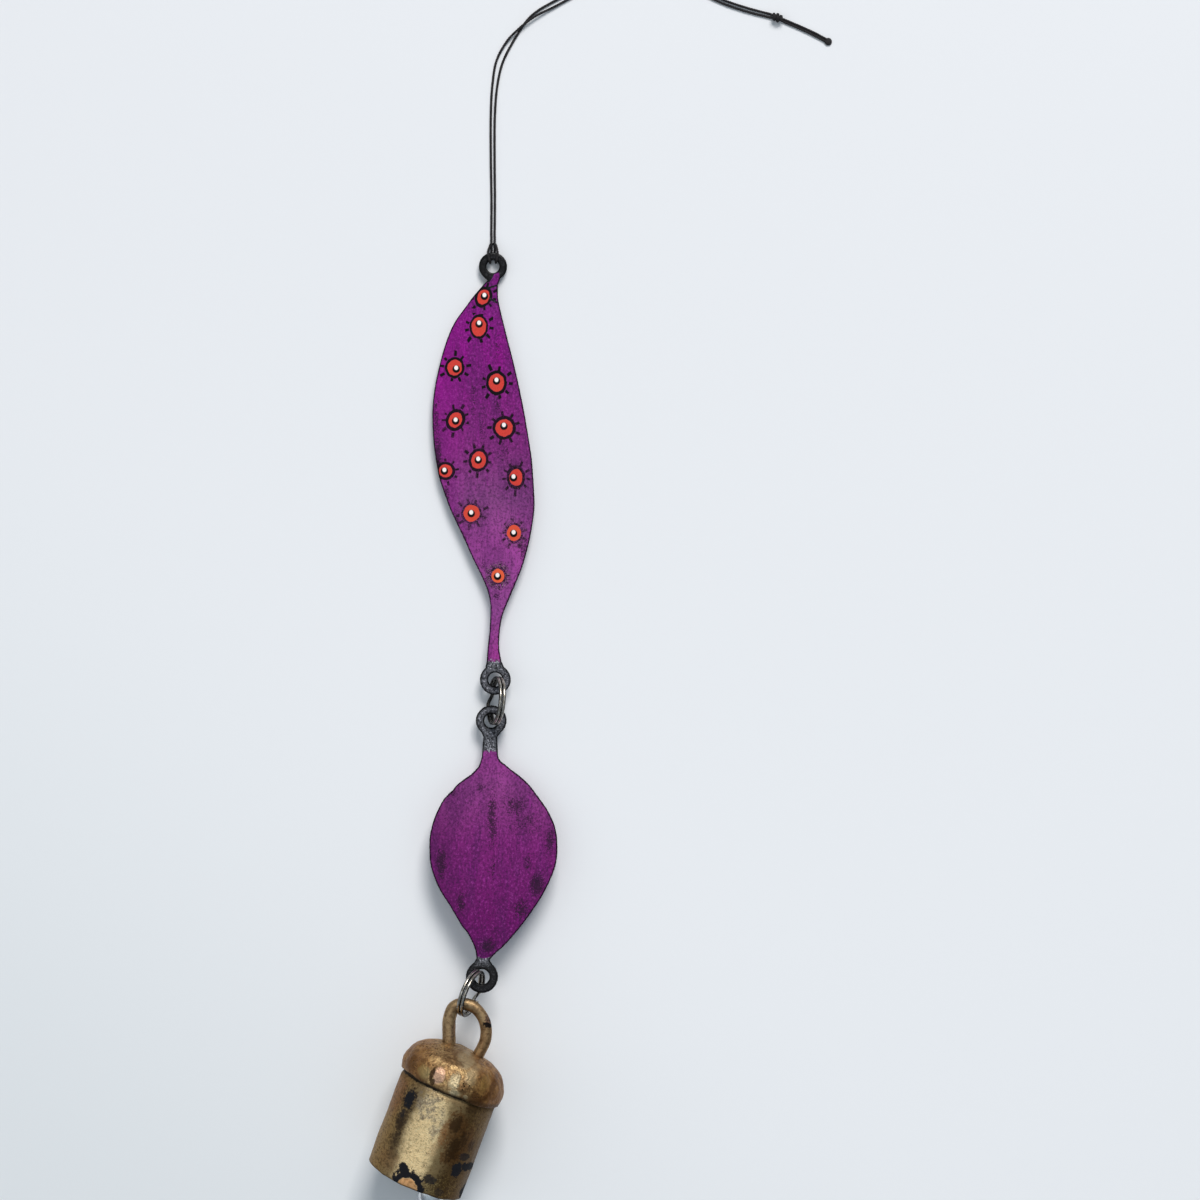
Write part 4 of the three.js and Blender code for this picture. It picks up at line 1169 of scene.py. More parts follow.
def body_mesh(frame_now):
    """Rolled sheet: an even wall, a lapped seam down one side, dents and a worn, uneven mouth"""
    size = sizes("chime_bell")
    radius = size.radius / MM
    wall = size.wall / MM
    rows = [
        (size.mouth / MM, -size.length / MM), (radius, -size.shoulder / MM),
        (size.neck / MM, size.in_cap / MM)]
    inner = [(r - wall * r / radius, h) for r, h in reversed(rows)]
    loop = profile_of(evenly, rows, 0.55) + profile_of(evenly, inner, 0.9)
    bm = spun(loop, BODY_SEGMENTS, True)
    store_place(bm)
    for vert in bm.verts:
        place = vert.co / MM
        out = Vector((place.x, 0, place.z))
        radial = out.normalized()
        around = math.atan2(-place.z, place.x) % (2 * math.pi)
        outer = ramped(out.length, radius - wall * 0.8, radius - wall * 0.3)
        past = (around - LAP_PLACE) % (2 * math.pi)
        lap = 0.0
        if past < LAP_RISE:
            lap = size.lap / MM * (1 - past / LAP_RISE) * ramped(past, 0, math.radians(1.5))
        slow = noise.noise(place * 0.11) * 0.22
        quick = noise.noise(place * 0.42 + Vector((9, 0, 2))) * 0.07
        near_mouth = 1 - ramped(place.y + size.length / MM, 0, 4)
        near_cap = ramped(place.y, -3, 0)
        flare = noise.noise(Vector((place.x, 0, place.z)) * 0.28) * 0.35 * near_mouth
        vert.co += radial * (lap * outer + (slow + quick) * (1 - near_cap)) * MM
        down = ramped(-place.y, size.shoulder / MM, size.length / MM)
        slope = MOUTH_SLOPE * place.x + MOUTH_FRONT_SLOPE * place.z
        vert.co.y += (flare * 0.8 - slope * down) * MM
    return from_bmesh(bm, frame_now)


def cap_mesh(frame_now, bail_path):
    """Hammered dome with a wavy edge and two holes for the feet of the bail"""
    size = sizes("chime_bell")
    outer_radius = cap_radius()
    wall = size.cap_wall / MM
    height = size.cap_height / MM
    outside = [(outer_radius - 0.05, 0.0), (outer_radius + 0.12, 0.7)]
    outside += [(out * (outer_radius + (0.25 if up < 0.4 else 0)), up * height) for out, up in DOME]
    inside = [(out * (outer_radius - wall), up * (height - wall)) for out, up in reversed(DOME)]
    inside += [(outer_radius - wall, 0.0)]
    outer_line = profile_of(smooth_path, outside, 0.45)
    inner_line = profile_of(smooth_path, inside, 0.8)
    profile = inner_line + outer_line
    profile[0] = (0.0, profile[0][1])
    profile[-1] = (0.0, profile[-1][1])
    bm = spun(profile, CAP_SEGMENTS, False)
    for vert in bm.verts:
        place = vert.co / MM
        out = Vector((place.x, 0, place.z))
        radial = (place - Vector((0, 2.5, 0))).normalized()
        dents = noise.noise(place * 0.26 + Vector((4, 1, 8))) * 0.30
        pits = noise.noise(place * 0.75) * 0.10
        fuller = ramped(-place.x, 0, 16) * 0.35
        edge = 1 - ramped(place.y, 0, 3.0)
        around = math.atan2(place.z, place.x)
        wave = noise.noise(Vector((math.cos(around) * 2.2, math.sin(around) * 2.2, 3.1))) * 0.75
        inner_side = 0.45 if place.y < 1.5 else 1.0
        vert.co += radial * (dents * inner_side + pits * inner_side + fuller * (1 - edge)) * MM
        vert.co.y += wave * edge * MM
    bmesh.ops.rotate(bm, cent=(0, 0, 0), matrix=Matrix.Rotation(CAP_TILT, 3, "Z"), verts=bm.verts)
    store_place(bm)
    cap = from_bmesh(bm)
    holes = wire_bmesh([[(point, radius + SEAT_GAP * 0.5 * MM) for point, radius in bail_path]], 4)
    bmesh.ops.scale(holes, vec=(1, 1, BAIL_THICKNESS / BAIL_BAR), verts=holes.verts)
    cutter = from_bmesh(holes)
    whole = cut_away(cap, cutter)
    bm = bmesh.new()
    bm.from_mesh(whole)
    bpy.data.meshes.remove(whole)
    return from_bmesh(bm, frame_now)


def cut_away(mesh, cutter_mesh):
    """What is left of a mesh outside its cutter"""
    holder = bpy.data.objects.new("blank", mesh)
    cutter = bpy.data.objects.new("cutter", cutter_mesh)
    for piece in (holder, cutter):
        bpy.context.scene.collection.objects.link(piece)
    modifier = holder.modifiers.new("holes", "BOOLEAN")
    modifier.operation = "DIFFERENCE"
    modifier.solver = "EXACT"
    modifier.object = cutter
    result = evaluated(holder)
    bpy.data.objects.remove(holder)
    bpy.data.objects.remove(cutter)
    bpy.data.meshes.remove(mesh)
    bpy.data.meshes.remove(cutter_mesh)
    return result


def dome_height(out):
    size = sizes("chime_bell")
    share = min(1.0, out / cap_radius())
    return (size.cap_height - size.cap_wall / 2) / MM * math.sqrt(1 - 0.62 * share * share)


def bail_string():
    """The bail's bar from foot to foot: a leaning arch, wider on its left"""
    foot = dome_height(BAIL_FOOT_HALF_WIDTH) - BAIL_FOOT_DEPTH
    crown = dome_height(0)
    arch = [
        (BAIL_FOOT_HALF_WIDTH * 0.92, foot - crown), (BAIL_FOOT_HALF_WIDTH, 0),
        (BAIL_HALF_WIDTH, BAIL_HEIGHT * 0.34), (BAIL_HALF_WIDTH * 0.93, BAIL_HEIGHT * 0.66),
        (BAIL_HALF_WIDTH * 0.55, BAIL_HEIGHT * 0.92), (0, BAIL_HEIGHT)]
    whole = arch + [(-x, y) for x, y in reversed(arch[:-1])]
    points = []
    for x, y in whole:
        lean = BAIL_LEAN * min(max(y / BAIL_HEIGHT, 0), 1)
        across = x * math.cos(lean) - y * math.sin(lean)
        up = crown + y * math.cos(lean) + x * math.sin(lean)
        points.append(Vector((across, up, 0)) * MM)
    route = smooth_path(points, WIRE_SPACING)
    string = []
    for i, point in enumerate(route):
        share = i / (len(route) - 1)
        wide = BAIL_BAR / 2 * (1.0 + 0.13 * ramped(share, 0.35, 0.8))
        wide += noise.noise(point * 260) * 0.07
        string.append((point, wide * MM))
    return string


class CHIME_OT_bell(bpy.types.Operator):
    """Bell: a rolled body, a hammered cap and a bent bail"""

    bl_idname = "chime.bell"
    bl_label = "Bell"

    def execute(self, context):
        frame_now = bell_frame()
        string = bail_string()
        keep(body_mesh(frame_now), "bell_body_rolled", "bell", body_material(), ["bell_body"])
        cap = cap_mesh(frame_now, string)
        keep(cap, "bell_cap_hammered", "bell", cap_material(), ["bell_cap"])
        bm = wire_bmesh([string], 6)
        bmesh.ops.scale(bm, vec=(1, 1, BAIL_THICKNESS / BAIL_BAR), verts=bm.verts)
        store_place(bm)
        bail = from_bmesh(bm, frame_now)
        keep(bail, "bell_bail_bar", "bell", bail_material(), ["bell_bail"])
        return {"FINISHED"}


def body_material():
    """Aged brass: a golden middle, rubbed and also a painted highlight, a brown side darkened further as
    painted shade, a black seam streak and black scale at the mouth
    """
    graph = Graph("aged bell brass", metallic=1.0, Specular_IOR_Level=0.15)
    place = graph.local()
    x, y, z = graph.split(place)
    facing = z.step(-4, 3)
    grain = graph.noise(place, 1.3, detail=5.0, roughness=0.65)
    coarse = graph.noise(place, 0.32, detail=4.0)
    fine = graph.noise(place, 3.6, detail=3.0)
    cloud = graph.noise(place, 0.65, detail=5.0, roughness=0.7)
    brushed = graph.noise(graph.stretched(place, (0.9, 3.4, 0.9)), 1.0, detail=4.0, roughness=0.7)
    worms = abs(graph.noise(place, 0.75, detail=3.0, distortion=0.6) - 0.5).step(0.05, 0.01)
    rag = (cloud - 0.5) * 2.6 + (grain - 0.5) * 1.0
    # The golden middle: rubbed brass and a painted highlight, with darker brown around it
    gold_and_highlight = graph.spot(x + (coarse - 0.5) * 3.0, y, -2.5, -15.5, 6.3, 25.0)
    gold_and_highlight = (gold_and_highlight + (cloud - 0.5) * 1.2).step(-0.1, 0.65)
    tone = graph.mix(gold_and_highlight, (0.33, 0.23, 0.11), tuple(sizes("chime_bell").brass))
    red = graph.blots(x, y, rag * 0.4, [(-14.6, -6.0, 3.4, 10.0, 0.8), (-9.5, -26.0, 4.0, 4.0, 0.4)], 0.8)
    # A reddish patch on the left, and the right side darkened brown as painted shade
    tone = graph.layers(
        tone,
        (red * facing, (0.26, 0.125, 0.058)),
        (x.step(5.0, 10.0) * 0.85, (0.155, 0.100, 0.048)))
    rim_light = graph.blots(x, y, rag * 0.5, [(14.4, -7.0, 1.6, 7.0, 0.5)], 0.8)
    tone = graph.mix(rim_light, tone, (0.33, 0.24, 0.125))
    grey = graph.blots(x, y, rag * 0.7, [(-4.5, -5.0, 5.0, 6.0, 0.85), (0.4, -10.0, 2.4, 5.5, 0.7)], 0.7)
    tone = graph.mix(grey * cloud.step(0.38, 0.58) * facing, tone, (0.30, 0.245, 0.19))
    shoulder = (y + (cloud - 0.5) * 1.5).step(-3.4, -1.2)
    tone = graph.layers(
        tone,
        (shoulder * 0.55, (0.24, 0.17, 0.09)),
        (brushed.step(0.50, 0.62) * 0.55, (0.27, 0.18, 0.085)),
        (cloud.step(0.52, 0.68) * 0.5, (0.20, 0.13, 0.062)))
    low = graph.blots(x, y, rag * 0.6, [(8.2, -27.4, 7.0, 5.0, 0.85), (11.5, -8.0, 3.0, 8.0, 0.5)], 0.8)
    tone = graph.layers(
        tone,
        (low * facing, (0.14, 0.09, 0.04)),
        (low * worms * facing * 0.9, (0.46, 0.34, 0.15)))
    brown = graph.blots(x, y, rag, [
        (6.4, -10.5, 4.4, 8.5, 0.9), (8.2, -17.0, 4.0, 4.5, 0.85), (10.8, -12.0, 2.6, 6.0, 0.6)], 0.75)
    tone = graph.mix(brown * facing, tone, (0.20, 0.098, 0.036))
    orange = graph.blots(x, y, rag * 0.6, [(3.3, -12.0, 1.5, 5.5, 0.65), (2.2, -17.5, 1.5, 3.0, 0.35)], 0.7)
    tone = graph.mix(orange * facing, tone, (0.34, 0.165, 0.065))
    deep = graph.blots(x, y, rag, [
        (5.9, -8.4, 2.2, 3.4, 0.8), (7.9, -15.5, 2.6, 4.6, 0.75), (9.8, -12.0, 1.6, 3.0, 0.6),
        (12.8, -13.5, 1.0, 2.4, 0.7), (9.0, -2.2, 3.0, 1.4, 0.5)], 0.7)
    tone = graph.mix(deep * facing, tone, (0.050, 0.026, 0.012))
    halo = graph.blots(x, y, rag * 0.8, [
        (-10.3, -6.5, 3.0, 5.2, 0.7), (-10.4, -13.5, 2.3, 5.5, 0.75), (-10.2, -19.5, 2.0, 4.5, 0.6),
        (-9.6, -24.0, 2.2, 2.6, 0.35)], 0.8)
    tone = graph.mix(halo * facing, tone, (0.060, 0.038, 0.024))
    soot = graph.blots(x, y, rag * 1.5, [
        (-10.3, -6.8, 2.2, 4.4, 0.7), (-10.6, -13.4, 1.5, 4.0, 0.75), (-10.2, -18.4, 1.3, 3.0, 0.7)], 0.9)
    tone = graph.mix(soot * facing * 0.9, tone, (0.022, 0.016, 0.015))
    black = graph.blots(x, y, rag, [
        (-10.3, -6.4, 1.6, 3.3, 1.0), (-10.9, -11.6, 0.8, 1.6, 0.75),
        (11.2, -21.4, 1.7, 2.6, 1.0), (14.2, -20.2, 2.6, 1.6, 1.0), (12.0, -17.2, 1.6, 1.4, 0.8),
        (-4.4, -26.2, 2.0, 1.6, 1.0), (4.4, -26.2, 2.4, 1.6, 0.9), (15.7, -28.6, 1.0, 2.8, 1.0),
        (8.4, -29.3, 1.7, 1.4, 0.6)], 0.35) * facing
    arc_x = (x + 1.3) / 3.1
    arc_y = (y + 31.2) / 3.0
    arc_out = (arc_x * arc_x + arc_y * arc_y) ** 0.5 + (cloud - 0.5) * 0.8
    arc = arc_out.step(0.98, 1.06) * (arc_out + (cloud - 0.5) * 1.6).step(1.80, 1.66) * facing
    copper = arc_out.step(1.04, 0.96) * facing
    edge_wear = (y + 31.4 + (grain - 0.5) * 2.2).step(0.9, 0.1)
    speckle = (grain.step(0.58, 0.70) * 0.6 + fine.step(0.60, 0.72) * 0.45).clamp()
    tone = graph.mix(speckle, tone, (0.060, 0.038, 0.018))
    # Painted shade on both flanks: grainy darkening, the right side darker still, the left one darker and
    # warmer
    shaded_flank = abs(x + 1.0).step(5.0, 9.0)
    tone = graph.mix(shaded_flank * grain.step(0.47, 0.60) * 0.55, tone, (0.085, 0.052, 0.026))
    tone = graph.tinted(tone, x.step(4.0, 10.0), (0.70, 0.60, 0.46))
    tone = graph.tinted(tone, x.step(-8.0, -13.0), (1.0, 0.88, 0.68))
    # Bright flecks in the golden middle, part of its painted highlight, and the copper inside the black arc
    tone = graph.layers(
        tone,
        ((fine.step(0.46, 0.34) + grain.step(0.44, 0.30)) * gold_and_highlight * 0.6, (0.98, 0.82, 0.50)),
        (copper, graph.mix(grain.step(0.4, 0.65), (0.80, 0.44, 0.20), (0.48, 0.24, 0.10))))
    black = (black + arc).clamp()
    tone = graph.layers(
        tone,
        (black, (0.010, 0.010, 0.013)),
        (edge_wear * 0.75 * (1 - black), (0.10, 0.055, 0.026)))
    # Painted shade where the body runs in under the cap: nearly black and hardly metallic
    shade_under_cap = (y + (cloud - 0.5) * 1.4).step(-0.75, -0.35)
    tone = graph.mix(shade_under_cap * 0.95, tone, (0.008, 0.006, 0.005))
    # Painted shade inside the mouth: the inner wall darkened and made rougher
    inside = (((x * x + z * z) ** 0.5) - 15.2).step(0.1, -0.15)
    tone = graph.mix(inside * 0.75, tone, (0.09, 0.06, 0.035))
    rough = 0.42 + grain * 0.22 + black * 0.25 + inside * 0.2 + shoulder * 0.2
    metal = 1 - (black * 0.75).math("MAXIMUM", shade_under_cap * 0.8)
    bump = graph.bump(grain * 0.8 + fine * 0.4 + coarse * 0.6 + brushed * 0.4, 0.6, 0.00024)
    return graph.finish(Base_Color=tone, Roughness=rough, Metallic=metal, Normal=bump)


def cap_material():
    """Hammered brass: mottled brown and olive, pits, a rosy painted highlight with a pale one beside it,
    and painted shade on both sides
    """
    graph = Graph("hammered cap brass", metallic=1.0)
    place = graph.local()
    x, y, z = graph.split(place)
    grain = graph.noise(place, 1.1, detail=5.0, roughness=0.65)
    coarse = graph.noise(place, 0.28, detail=3.0)
    fine = graph.noise(place, 3.4, detail=3.0)
    cloud = graph.noise(place, 0.5, detail=5.0, roughness=0.7)
    facing = z.step(0, 4)
    rag = (cloud - 0.5) * 2.2 + (grain - 0.5) * 0.9
    pitted_here = graph.blots(x, y, rag, [
        (-9.5, 10.2, 4.5, 2.6, 1.0), (-5.5, 12.0, 4.0, 1.6, 1.0), (4.8, 4.4, 2.2, 2.2, 1.0),
        (-13.0, 5.0, 2.0, 2.0, 0.6), (9.0, 2.0, 3.0, 1.5, 0.6)], 0.6)
    pitted = graph.cells(place, 0.95).step(0.34, 0.16) * pitted_here
    tone = graph.mix(coarse.step(0.35, 0.65), (0.53, 0.355, 0.165), (0.35, 0.205, 0.09))
    tone = graph.layers(
        tone,
        (grain.step(0.47, 0.62) * 0.68, (0.18, 0.105, 0.048)),
        (cloud.step(0.50, 0.62) * 0.65, (0.16, 0.084, 0.038)),
        (fine.step(0.56, 0.70) * 0.5, (0.075, 0.045, 0.024)))
    # Painted shade: both sides of the dome darkened
    sides = abs(x - 0.5).step(9.0, 15.0)
    tone = graph.mix(sides * 0.5, tone, (0.20, 0.11, 0.05))
    band = graph.blots(x, y, rag * 0.7, [(1.8, 10.8, 3.6, 2.6, 0.8), (5.4, 7.4, 2.4, 3.6, 0.7)], 0.9)
    tone = graph.mix(band * facing, tone, (0.50, 0.385, 0.225))
    brown = graph.blots(x, y, rag, [
        (-2.0, 9.6, 4.6, 1.5, 0.75), (8.6, 1.6, 4.4, 2.2, 0.8), (-9.4, 1.2, 3.0, 1.6, 0.5),
        (-14.0, 4.0, 2.4, 5.0, 0.7), (12.6, 5.5, 1.2, 5.0, 0.6), (4.4, 3.4, 2.4, 2.4, 0.7),
        (-6.0, 7.0, 3.0, 1.2, 0.5)], 0.8)
    tone = graph.mix(brown * facing, tone, (0.135, 0.070, 0.030))
    olive = graph.blots(x, y, rag * 0.6, [(-9.0, 3.4, 2.6, 2.4, 0.7), (10.0, 6.5, 2.0, 3.5, 0.5)], 0.8)
    tone = graph.mix(olive * facing, tone, (0.42, 0.33, 0.155))
    # Painted highlights: a pale mottled spot beside the rosy one, and two smaller ones lower down
    pale = graph.blots(x, y, rag, [
        (0.8, 4.2, 2.1, 3.4, 0.9), (1.9, 1.2, 2.2, 1.4, 0.85), (5.8, 1.0, 1.0, 0.8, 0.8)], 0.8)
    tone = graph.layers(
        tone,
        (pale * facing, (0.54, 0.44, 0.27)),
        (pale * grain.step(0.5, 0.6) * 0.6 * facing, (0.30, 0.22, 0.12)))
    # Painted highlight: a rosy reflection left of the pale one
    rosy = graph.blots(x, y, rag * 0.45, [(-4.4, 4.3, 2.1, 3.0, 0.95)], 0.6)
    tone = graph.mix(rosy * facing * 0.85, tone, (0.62, 0.38, 0.26))
    groove = graph.blots(x, y, rag * 0.5, [(-6.6, 3.8, 0.8, 2.6, 0.9), (-5.6, 1.6, 0.8, 1.3, 0.8)], 0.6)
    tone = graph.mix(groove * facing, tone, (0.055, 0.028, 0.014))
    edge = (y + (cloud - 0.5) * 1.6).step(1.0, 0.1)
    tone = graph.mix(edge * 0.75, tone, (0.075, 0.042, 0.022))
    # Painted shade: the right side darkened, the left one darker and warmer
    tone = graph.tinted(tone, x.step(3.0, 10.0), (0.76, 0.58, 0.38))
    tone = graph.tinted(tone, x.step(-6.0, -12.0), (1.0, 0.82, 0.62))
    tone = graph.mix(pitted * 0.9, tone, (0.028, 0.018, 0.011))
    rough = 0.36 + grain * 0.24 + pitted * 0.3
    dents = coarse * 1.2 - pitted * 1.2 - groove * 1.2 + pale * 0.5
    bump = graph.bump(grain * 0.7 + dents + fine * 0.25, 0.75, 0.0004)
    return graph.finish(Base_Color=tone, Roughness=rough, Normal=bump)


def bail_material():
    """Brown tarnished bar with rust and black marks on its right leg, which is also darkened as painted
    shade
    """
    graph = Graph("tarnished bail brass", metallic=1.0)
    place = graph.local()
    x, y, _ = graph.split(place)
    grain = graph.noise(place, 1.4, detail=5.0, roughness=0.65)
    coarse = graph.noise(place, 0.4, detail=3.0)
    cloud = graph.noise(place, 0.8, detail=5.0, roughness=0.7)
    tone = graph.mix(coarse.step(0.35, 0.65), (0.42, 0.285, 0.15), (0.29, 0.185, 0.095))
    tone = graph.layers(
        tone,
        (grain.step(0.50, 0.66) * 0.6, (0.12, 0.08, 0.045)),
        (cloud.step(0.52, 0.66) * 0.6, (0.15, 0.085, 0.045)))
    marks = graph.blots(x, y, (grain - 0.5) * 3.2, [
        (4.4, 22.2, 1.6, 0.9, 0.95), (4.6, 24.6, 0.8, 1.6, 0.6)], 0.35)
    rust = graph.blots(x, y, (grain - 0.5) * 2.0, [
        (4.6, 24.4, 2.2, 2.6, 0.8), (-4.9, 18.0, 1.2, 5.0, 0.35)], 0.7)
    tone = graph.layers(
        tone,
        (rust, (0.26, 0.155, 0.115)),
        (rust * grain.step(0.46, 0.56), (0.030, 0.020, 0.018)))
    # Painted shade: the right leg darkened
    tone = graph.tinted(tone, x.step(1.0, 5.0), (0.86, 0.78, 0.72))
    tone = graph.mix(marks, tone, (0.010, 0.008, 0.009))
    rough = 0.38 + grain * 0.22
    bump = graph.bump(grain * 0.9 + coarse * 0.8, 0.55, 0.00022)
    return graph.finish(Base_Color=tone, Roughness=rough, Normal=bump)


def iron_material():
    graph = Graph("dull iron wire", metallic=1.0)
    place = graph.place()
    grain = graph.noise(place, 1.6, detail=4.0)
    tone = graph.mix(grain.step(0.4, 0.65), (0.16, 0.13, 0.10), (0.07, 0.045, 0.03))
    return graph.finish(
        Base_Color=tone, Roughness=0.45 + grain * 0.25, Normal=graph.bump(grain, 0.4, 0.0001))


def bob_material():
    graph = Graph("bright bob metal", metallic=1.0)
    place = graph.place()
    grain = graph.noise(place, 0.9, detail=4.0)
    fine = graph.noise(place, 5.0, detail=2.0)
    tone = graph.mix(grain.step(0.45, 0.7), (0.80, 0.81, 0.83), (0.52, 0.52, 0.54))
    return graph.finish(
        Base_Color=tone, Roughness=0.18 + grain * 0.2, Normal=graph.bump(fine, 0.15, 0.00005))


class CHIME_OT_clapper(bpy.types.Operator):
    """Clapper: a staple under the cap, a wire hook round it and a bob"""

    bl_idname = "chime.clapper"
    bl_label = "Clapper"

    def execute(self, context):
        bell = bell_frame()
        up = Vector((bell[0][1], bell[1][1], bell[2][1]))
        axle = joint_axis("clapper_swing")
        pivot = joint_place("clapper_swing")
        swung = Matrix.Rotation(CLAPPER_SWING, 3, axle) @ up
        swing_frame = frame_of(axle, swung, axle.cross(swung), pivot)
        iron = iron_material()
        staple = self.staple(frame_of(axle, up, axle.cross(up), pivot))
        keep(staple, "clapper_staple_wire", "bell", iron, ["clapper_staple"])
        length = self.length()
        hook = self.hook(swing_frame, length)
        keep(hook, "clapper_hook_wire", "clapper", iron, ["clapper_hook"])
        bob = self.bob(swing_frame, length)
        keep(bob, "clapper_bob_turned", "clapper", bob_material(), ["clapper_bob"])
        return {"FINISHED"}

    def length(self):
        """From the staple to the bob's end"""
        size = sizes("chime_bell")
        staple = (size.cap_height - size.cap_wall) / MM - SEAT_GAP - STAPLE_DROP
        return staple + (size.length / MM + BOB_PAST_MOUTH) / math.cos(CLAPPER_SWING)

    def staple(self, frame_now):
        half = STAPLE_HALF_WIDTH
        top = STAPLE_DROP - 0.6
        points = [
            (-half * 1.15, top), (-half, 2.4), (-half * 0.72, 0.5), (0, 0), (half * 0.72, 0.5), (half, 2.4),
            (half * 1.15, top)]
        return bent_wire([(x, y, 0) for x, y in points], STAPLE_WIRE, frame_now)

    def hook(self, frame_now, length):
        centre = -(HOOK_EYE_RADIUS - STAPLE_WIRE / 2 - HOOK_WIRE / 2 - SEAT_GAP)
        opening = HOOK_EYE_OPENING
        points = []
        for i in range(HOOK_EYE_STEPS + 1):
            angle = -math.pi / 2 + opening + i / HOOK_EYE_STEPS * (2 * math.pi - 2 * opening)
            points.append((centre + HOOK_EYE_RADIUS * math.sin(angle), HOOK_EYE_RADIUS * math.cos(angle)))
        points.append((centre - HOOK_EYE_RADIUS * 1.35, -HOOK_EYE_RADIUS * 0.12))
        points.append((centre - HOOK_EYE_RADIUS * 2.2, 0))
        points.append((-(length - BOB_LENGTH + HOOK_IN_BOB), 0))
        return bent_wire([(0, y, z) for y, z in points], HOOK_WIRE, frame_now)

    def bob(self, frame_now, length):
        profile = [
            (HOOK_WIRE / 2 + SEAT_GAP, -BOB_SOCKET), (HOOK_WIRE / 2 + SEAT_GAP, -0.2), (HOOK_WIRE, 0),
            (BOB_RADIUS * 0.62, -BOB_LENGTH * 0.16), (BOB_RADIUS * 0.94, -BOB_LENGTH * 0.45),
            (BOB_RADIUS, -BOB_LENGTH * 0.68), (BOB_RADIUS * 0.86, -BOB_LENGTH * 0.88),
            (BOB_RADIUS * 0.5, -BOB_LENGTH * 0.98), (0, -BOB_LENGTH)]
        socket = [(0.0, -BOB_SOCKET)] + profile_of(evenly, profile[:2], 0.5)
        line = socket + profile_of(smooth_path, profile[2:], 0.4)
        line[-1] = (0.0, line[-1][1])
        top = -(length - BOB_LENGTH)
        bm = spun([(radius, height + top) for radius, height in line], BOB_SEGMENTS, False)
        for vert in bm.verts:
            place = vert.co / MM
            vert.co += Vector((place.x, 0, place.z)) * noise.noise(place * 0.35) * 0.02 * MM
        return from_bmesh(bm, frame_now)


# Stage
TABLE_HALF = 3.0
# Table tones: darker far and lighter near, painted light that evens out the window's fall-off, and a darker
# lower-left corner, painted shade
TABLE_FAR = (0.765, 0.764, 0.784)
TABLE_NEAR = (0.885, 0.883, 0.900)
TABLE_SHADED_CORNER = (0.770, 0.784, 0.800)
ROOM_LOW = (0.27, 0.31, 0.36, 1)
ROOM_HIGH = (0.74, 0.89, 1.0, 1)
ROOM_STRENGTH = 0.44
LAMPS_MIDDLE = Vector((0, 0.01, 0))
LAMP_TINT = (1.0, 0.985, 0.965)
# Lamps: name, place, width, length and power
LAMPS = (
    ("window", (0.40, 1.55, 1.65), 1.0, 0.8, 44.0),
    ("left wall", (-0.90, 0.00, 0.80), 0.5, 1.0, 0.9),
    ("overhead", (-0.20, 0.00, 1.50), 0.7, 0.9, 1.6),
)


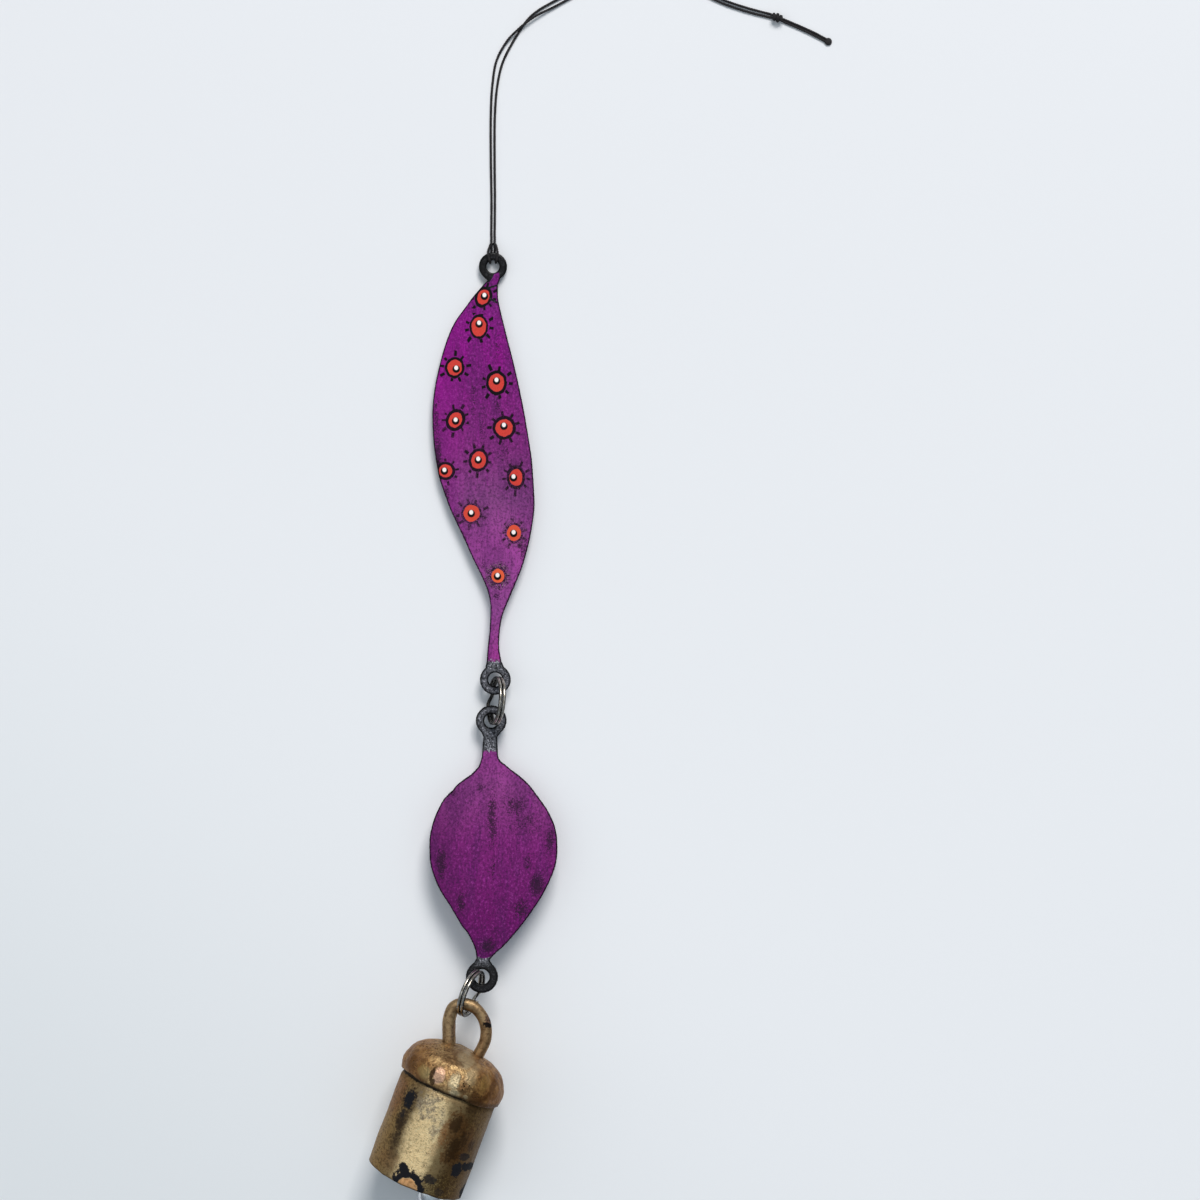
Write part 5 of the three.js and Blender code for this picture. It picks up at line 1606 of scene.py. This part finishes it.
class CHIME_OT_stage(bpy.types.Operator):
    """Pale table, three soft lamps, and a camera straight above"""

    bl_idname = "chime.stage"
    bl_label = "Stage and camera"

    def execute(self, context):
        scene = context.scene
        scene.view_settings.view_transform = "Standard"
        camera = bpy.data.cameras.new("photo camera")
        camera.sensor_width = SENSOR_WIDTH
        camera.lens = SENSOR_WIDTH * CAMERA_HEIGHT / (PHOTO_WIDTH_MM * MM)
        camera.clip_start = 0.01
        camera.clip_end = 20
        holder = bpy.data.objects.new("photo camera", camera)
        holder.location = (PHOTO_CENTRE.x, PHOTO_CENTRE.y, CAMERA_HEIGHT)
        scene.collection.objects.link(holder)
        scene.camera = holder
        self.floor(scene)
        self.lamps(scene)
        return {"FINISHED"}

    def floor(self, scene):
        bm = bmesh.new()
        bmesh.ops.create_grid(bm, x_segments=1, y_segments=1, size=TABLE_HALF)
        mesh = from_bmesh(bm)
        if mesh.polygons[0].normal.z < 0:
            mesh.flip_normals()
        table = bpy.data.objects.new("table", mesh)
        scene.collection.objects.link(table)
        graph = Graph("pale table", roughness=0.7, Specular_IOR_Level=0.1)
        place = graph.split(graph.place(1.0))
        down = PHOTO_CENTRE.y - place[1]
        left = PHOTO_CENTRE.x - place[0]
        # Painted light and shade on the table: lighter towards the bottom, darker in the lower-left corner
        tone = graph.mix(down.step(-0.26, 0.26), TABLE_FAR, TABLE_NEAR)
        tone = graph.mix((down + left).step(0.06, 0.40), tone, TABLE_SHADED_CORNER)
        mesh.materials.append(graph.finish(Base_Color=tone))

    def lamps(self, scene):
        for name, place, width, length, power in LAMPS:
            light = bpy.data.lights.new(name, "AREA")
            light.shape = "RECTANGLE"
            light.size = width
            light.size_y = length
            light.energy = power
            light.color = LAMP_TINT
            lamp = bpy.data.objects.new(name, light)
            lamp.location = Vector(place) + LAMPS_MIDDLE
            lamp.rotation_euler = (-Vector(place)).to_track_quat("-Z", "Y").to_euler()
            scene.collection.objects.link(lamp)
        world = bpy.data.worlds.new("soft room")
        scene.world = world
        world.use_nodes = True
        tree = world.node_tree
        background = tree.nodes["Background"]
        coordinates = tree.nodes.new("ShaderNodeTexCoord")
        parts = tree.nodes.new("ShaderNodeSeparateXYZ")
        ramp = tree.nodes.new("ShaderNodeValToRGB")
        tree.links.new(coordinates.outputs["Generated"], parts.inputs[0])
        tree.links.new(parts.outputs["Z"], ramp.inputs["Fac"])
        tree.links.new(ramp.outputs["Color"], background.inputs["Color"])
        low, high = ramp.color_ramp.elements
        low.position = 0.15
        low.color = ROOM_LOW
        high.position = 0.75
        high.color = ROOM_HIGH
        background.inputs["Strength"].default_value = ROOM_STRENGTH


class CHIME_PT_panel(bpy.types.Panel):
    """Lists the chime's steps"""

    bl_label = "Chime"
    bl_idname = "CHIME_PT_panel"
    bl_space_type = "VIEW_3D"
    bl_region_type = "UI"
    bl_category = "Chime"

    def draw(self, context):
        for operator in OPERATORS:
            self.layout.operator(operator.bl_idname)


OPERATORS = (
    CHIME_OT_stage, CHIME_OT_cord, CHIME_OT_leaves, CHIME_OT_rings, CHIME_OT_bell, CHIME_OT_clapper)
CLASSES = (*SETTINGS.values(), *OPERATORS, CHIME_PT_panel)


def register():
    for cls in CLASSES:
        bpy.utils.register_class(cls)
    for name, group in SETTINGS.items():
        setattr(bpy.types.Scene, name, PointerProperty(type=group))


def unregister():
    for name in SETTINGS:
        delattr(bpy.types.Scene, name)
    for cls in reversed(CLASSES):
        bpy.utils.unregister_class(cls)


def main():
    register()
    for operator in OPERATORS:
        group, name = operator.bl_idname.split(".")
        getattr(getattr(bpy.ops, group), name)()


if __name__ == "__main__":
    main()
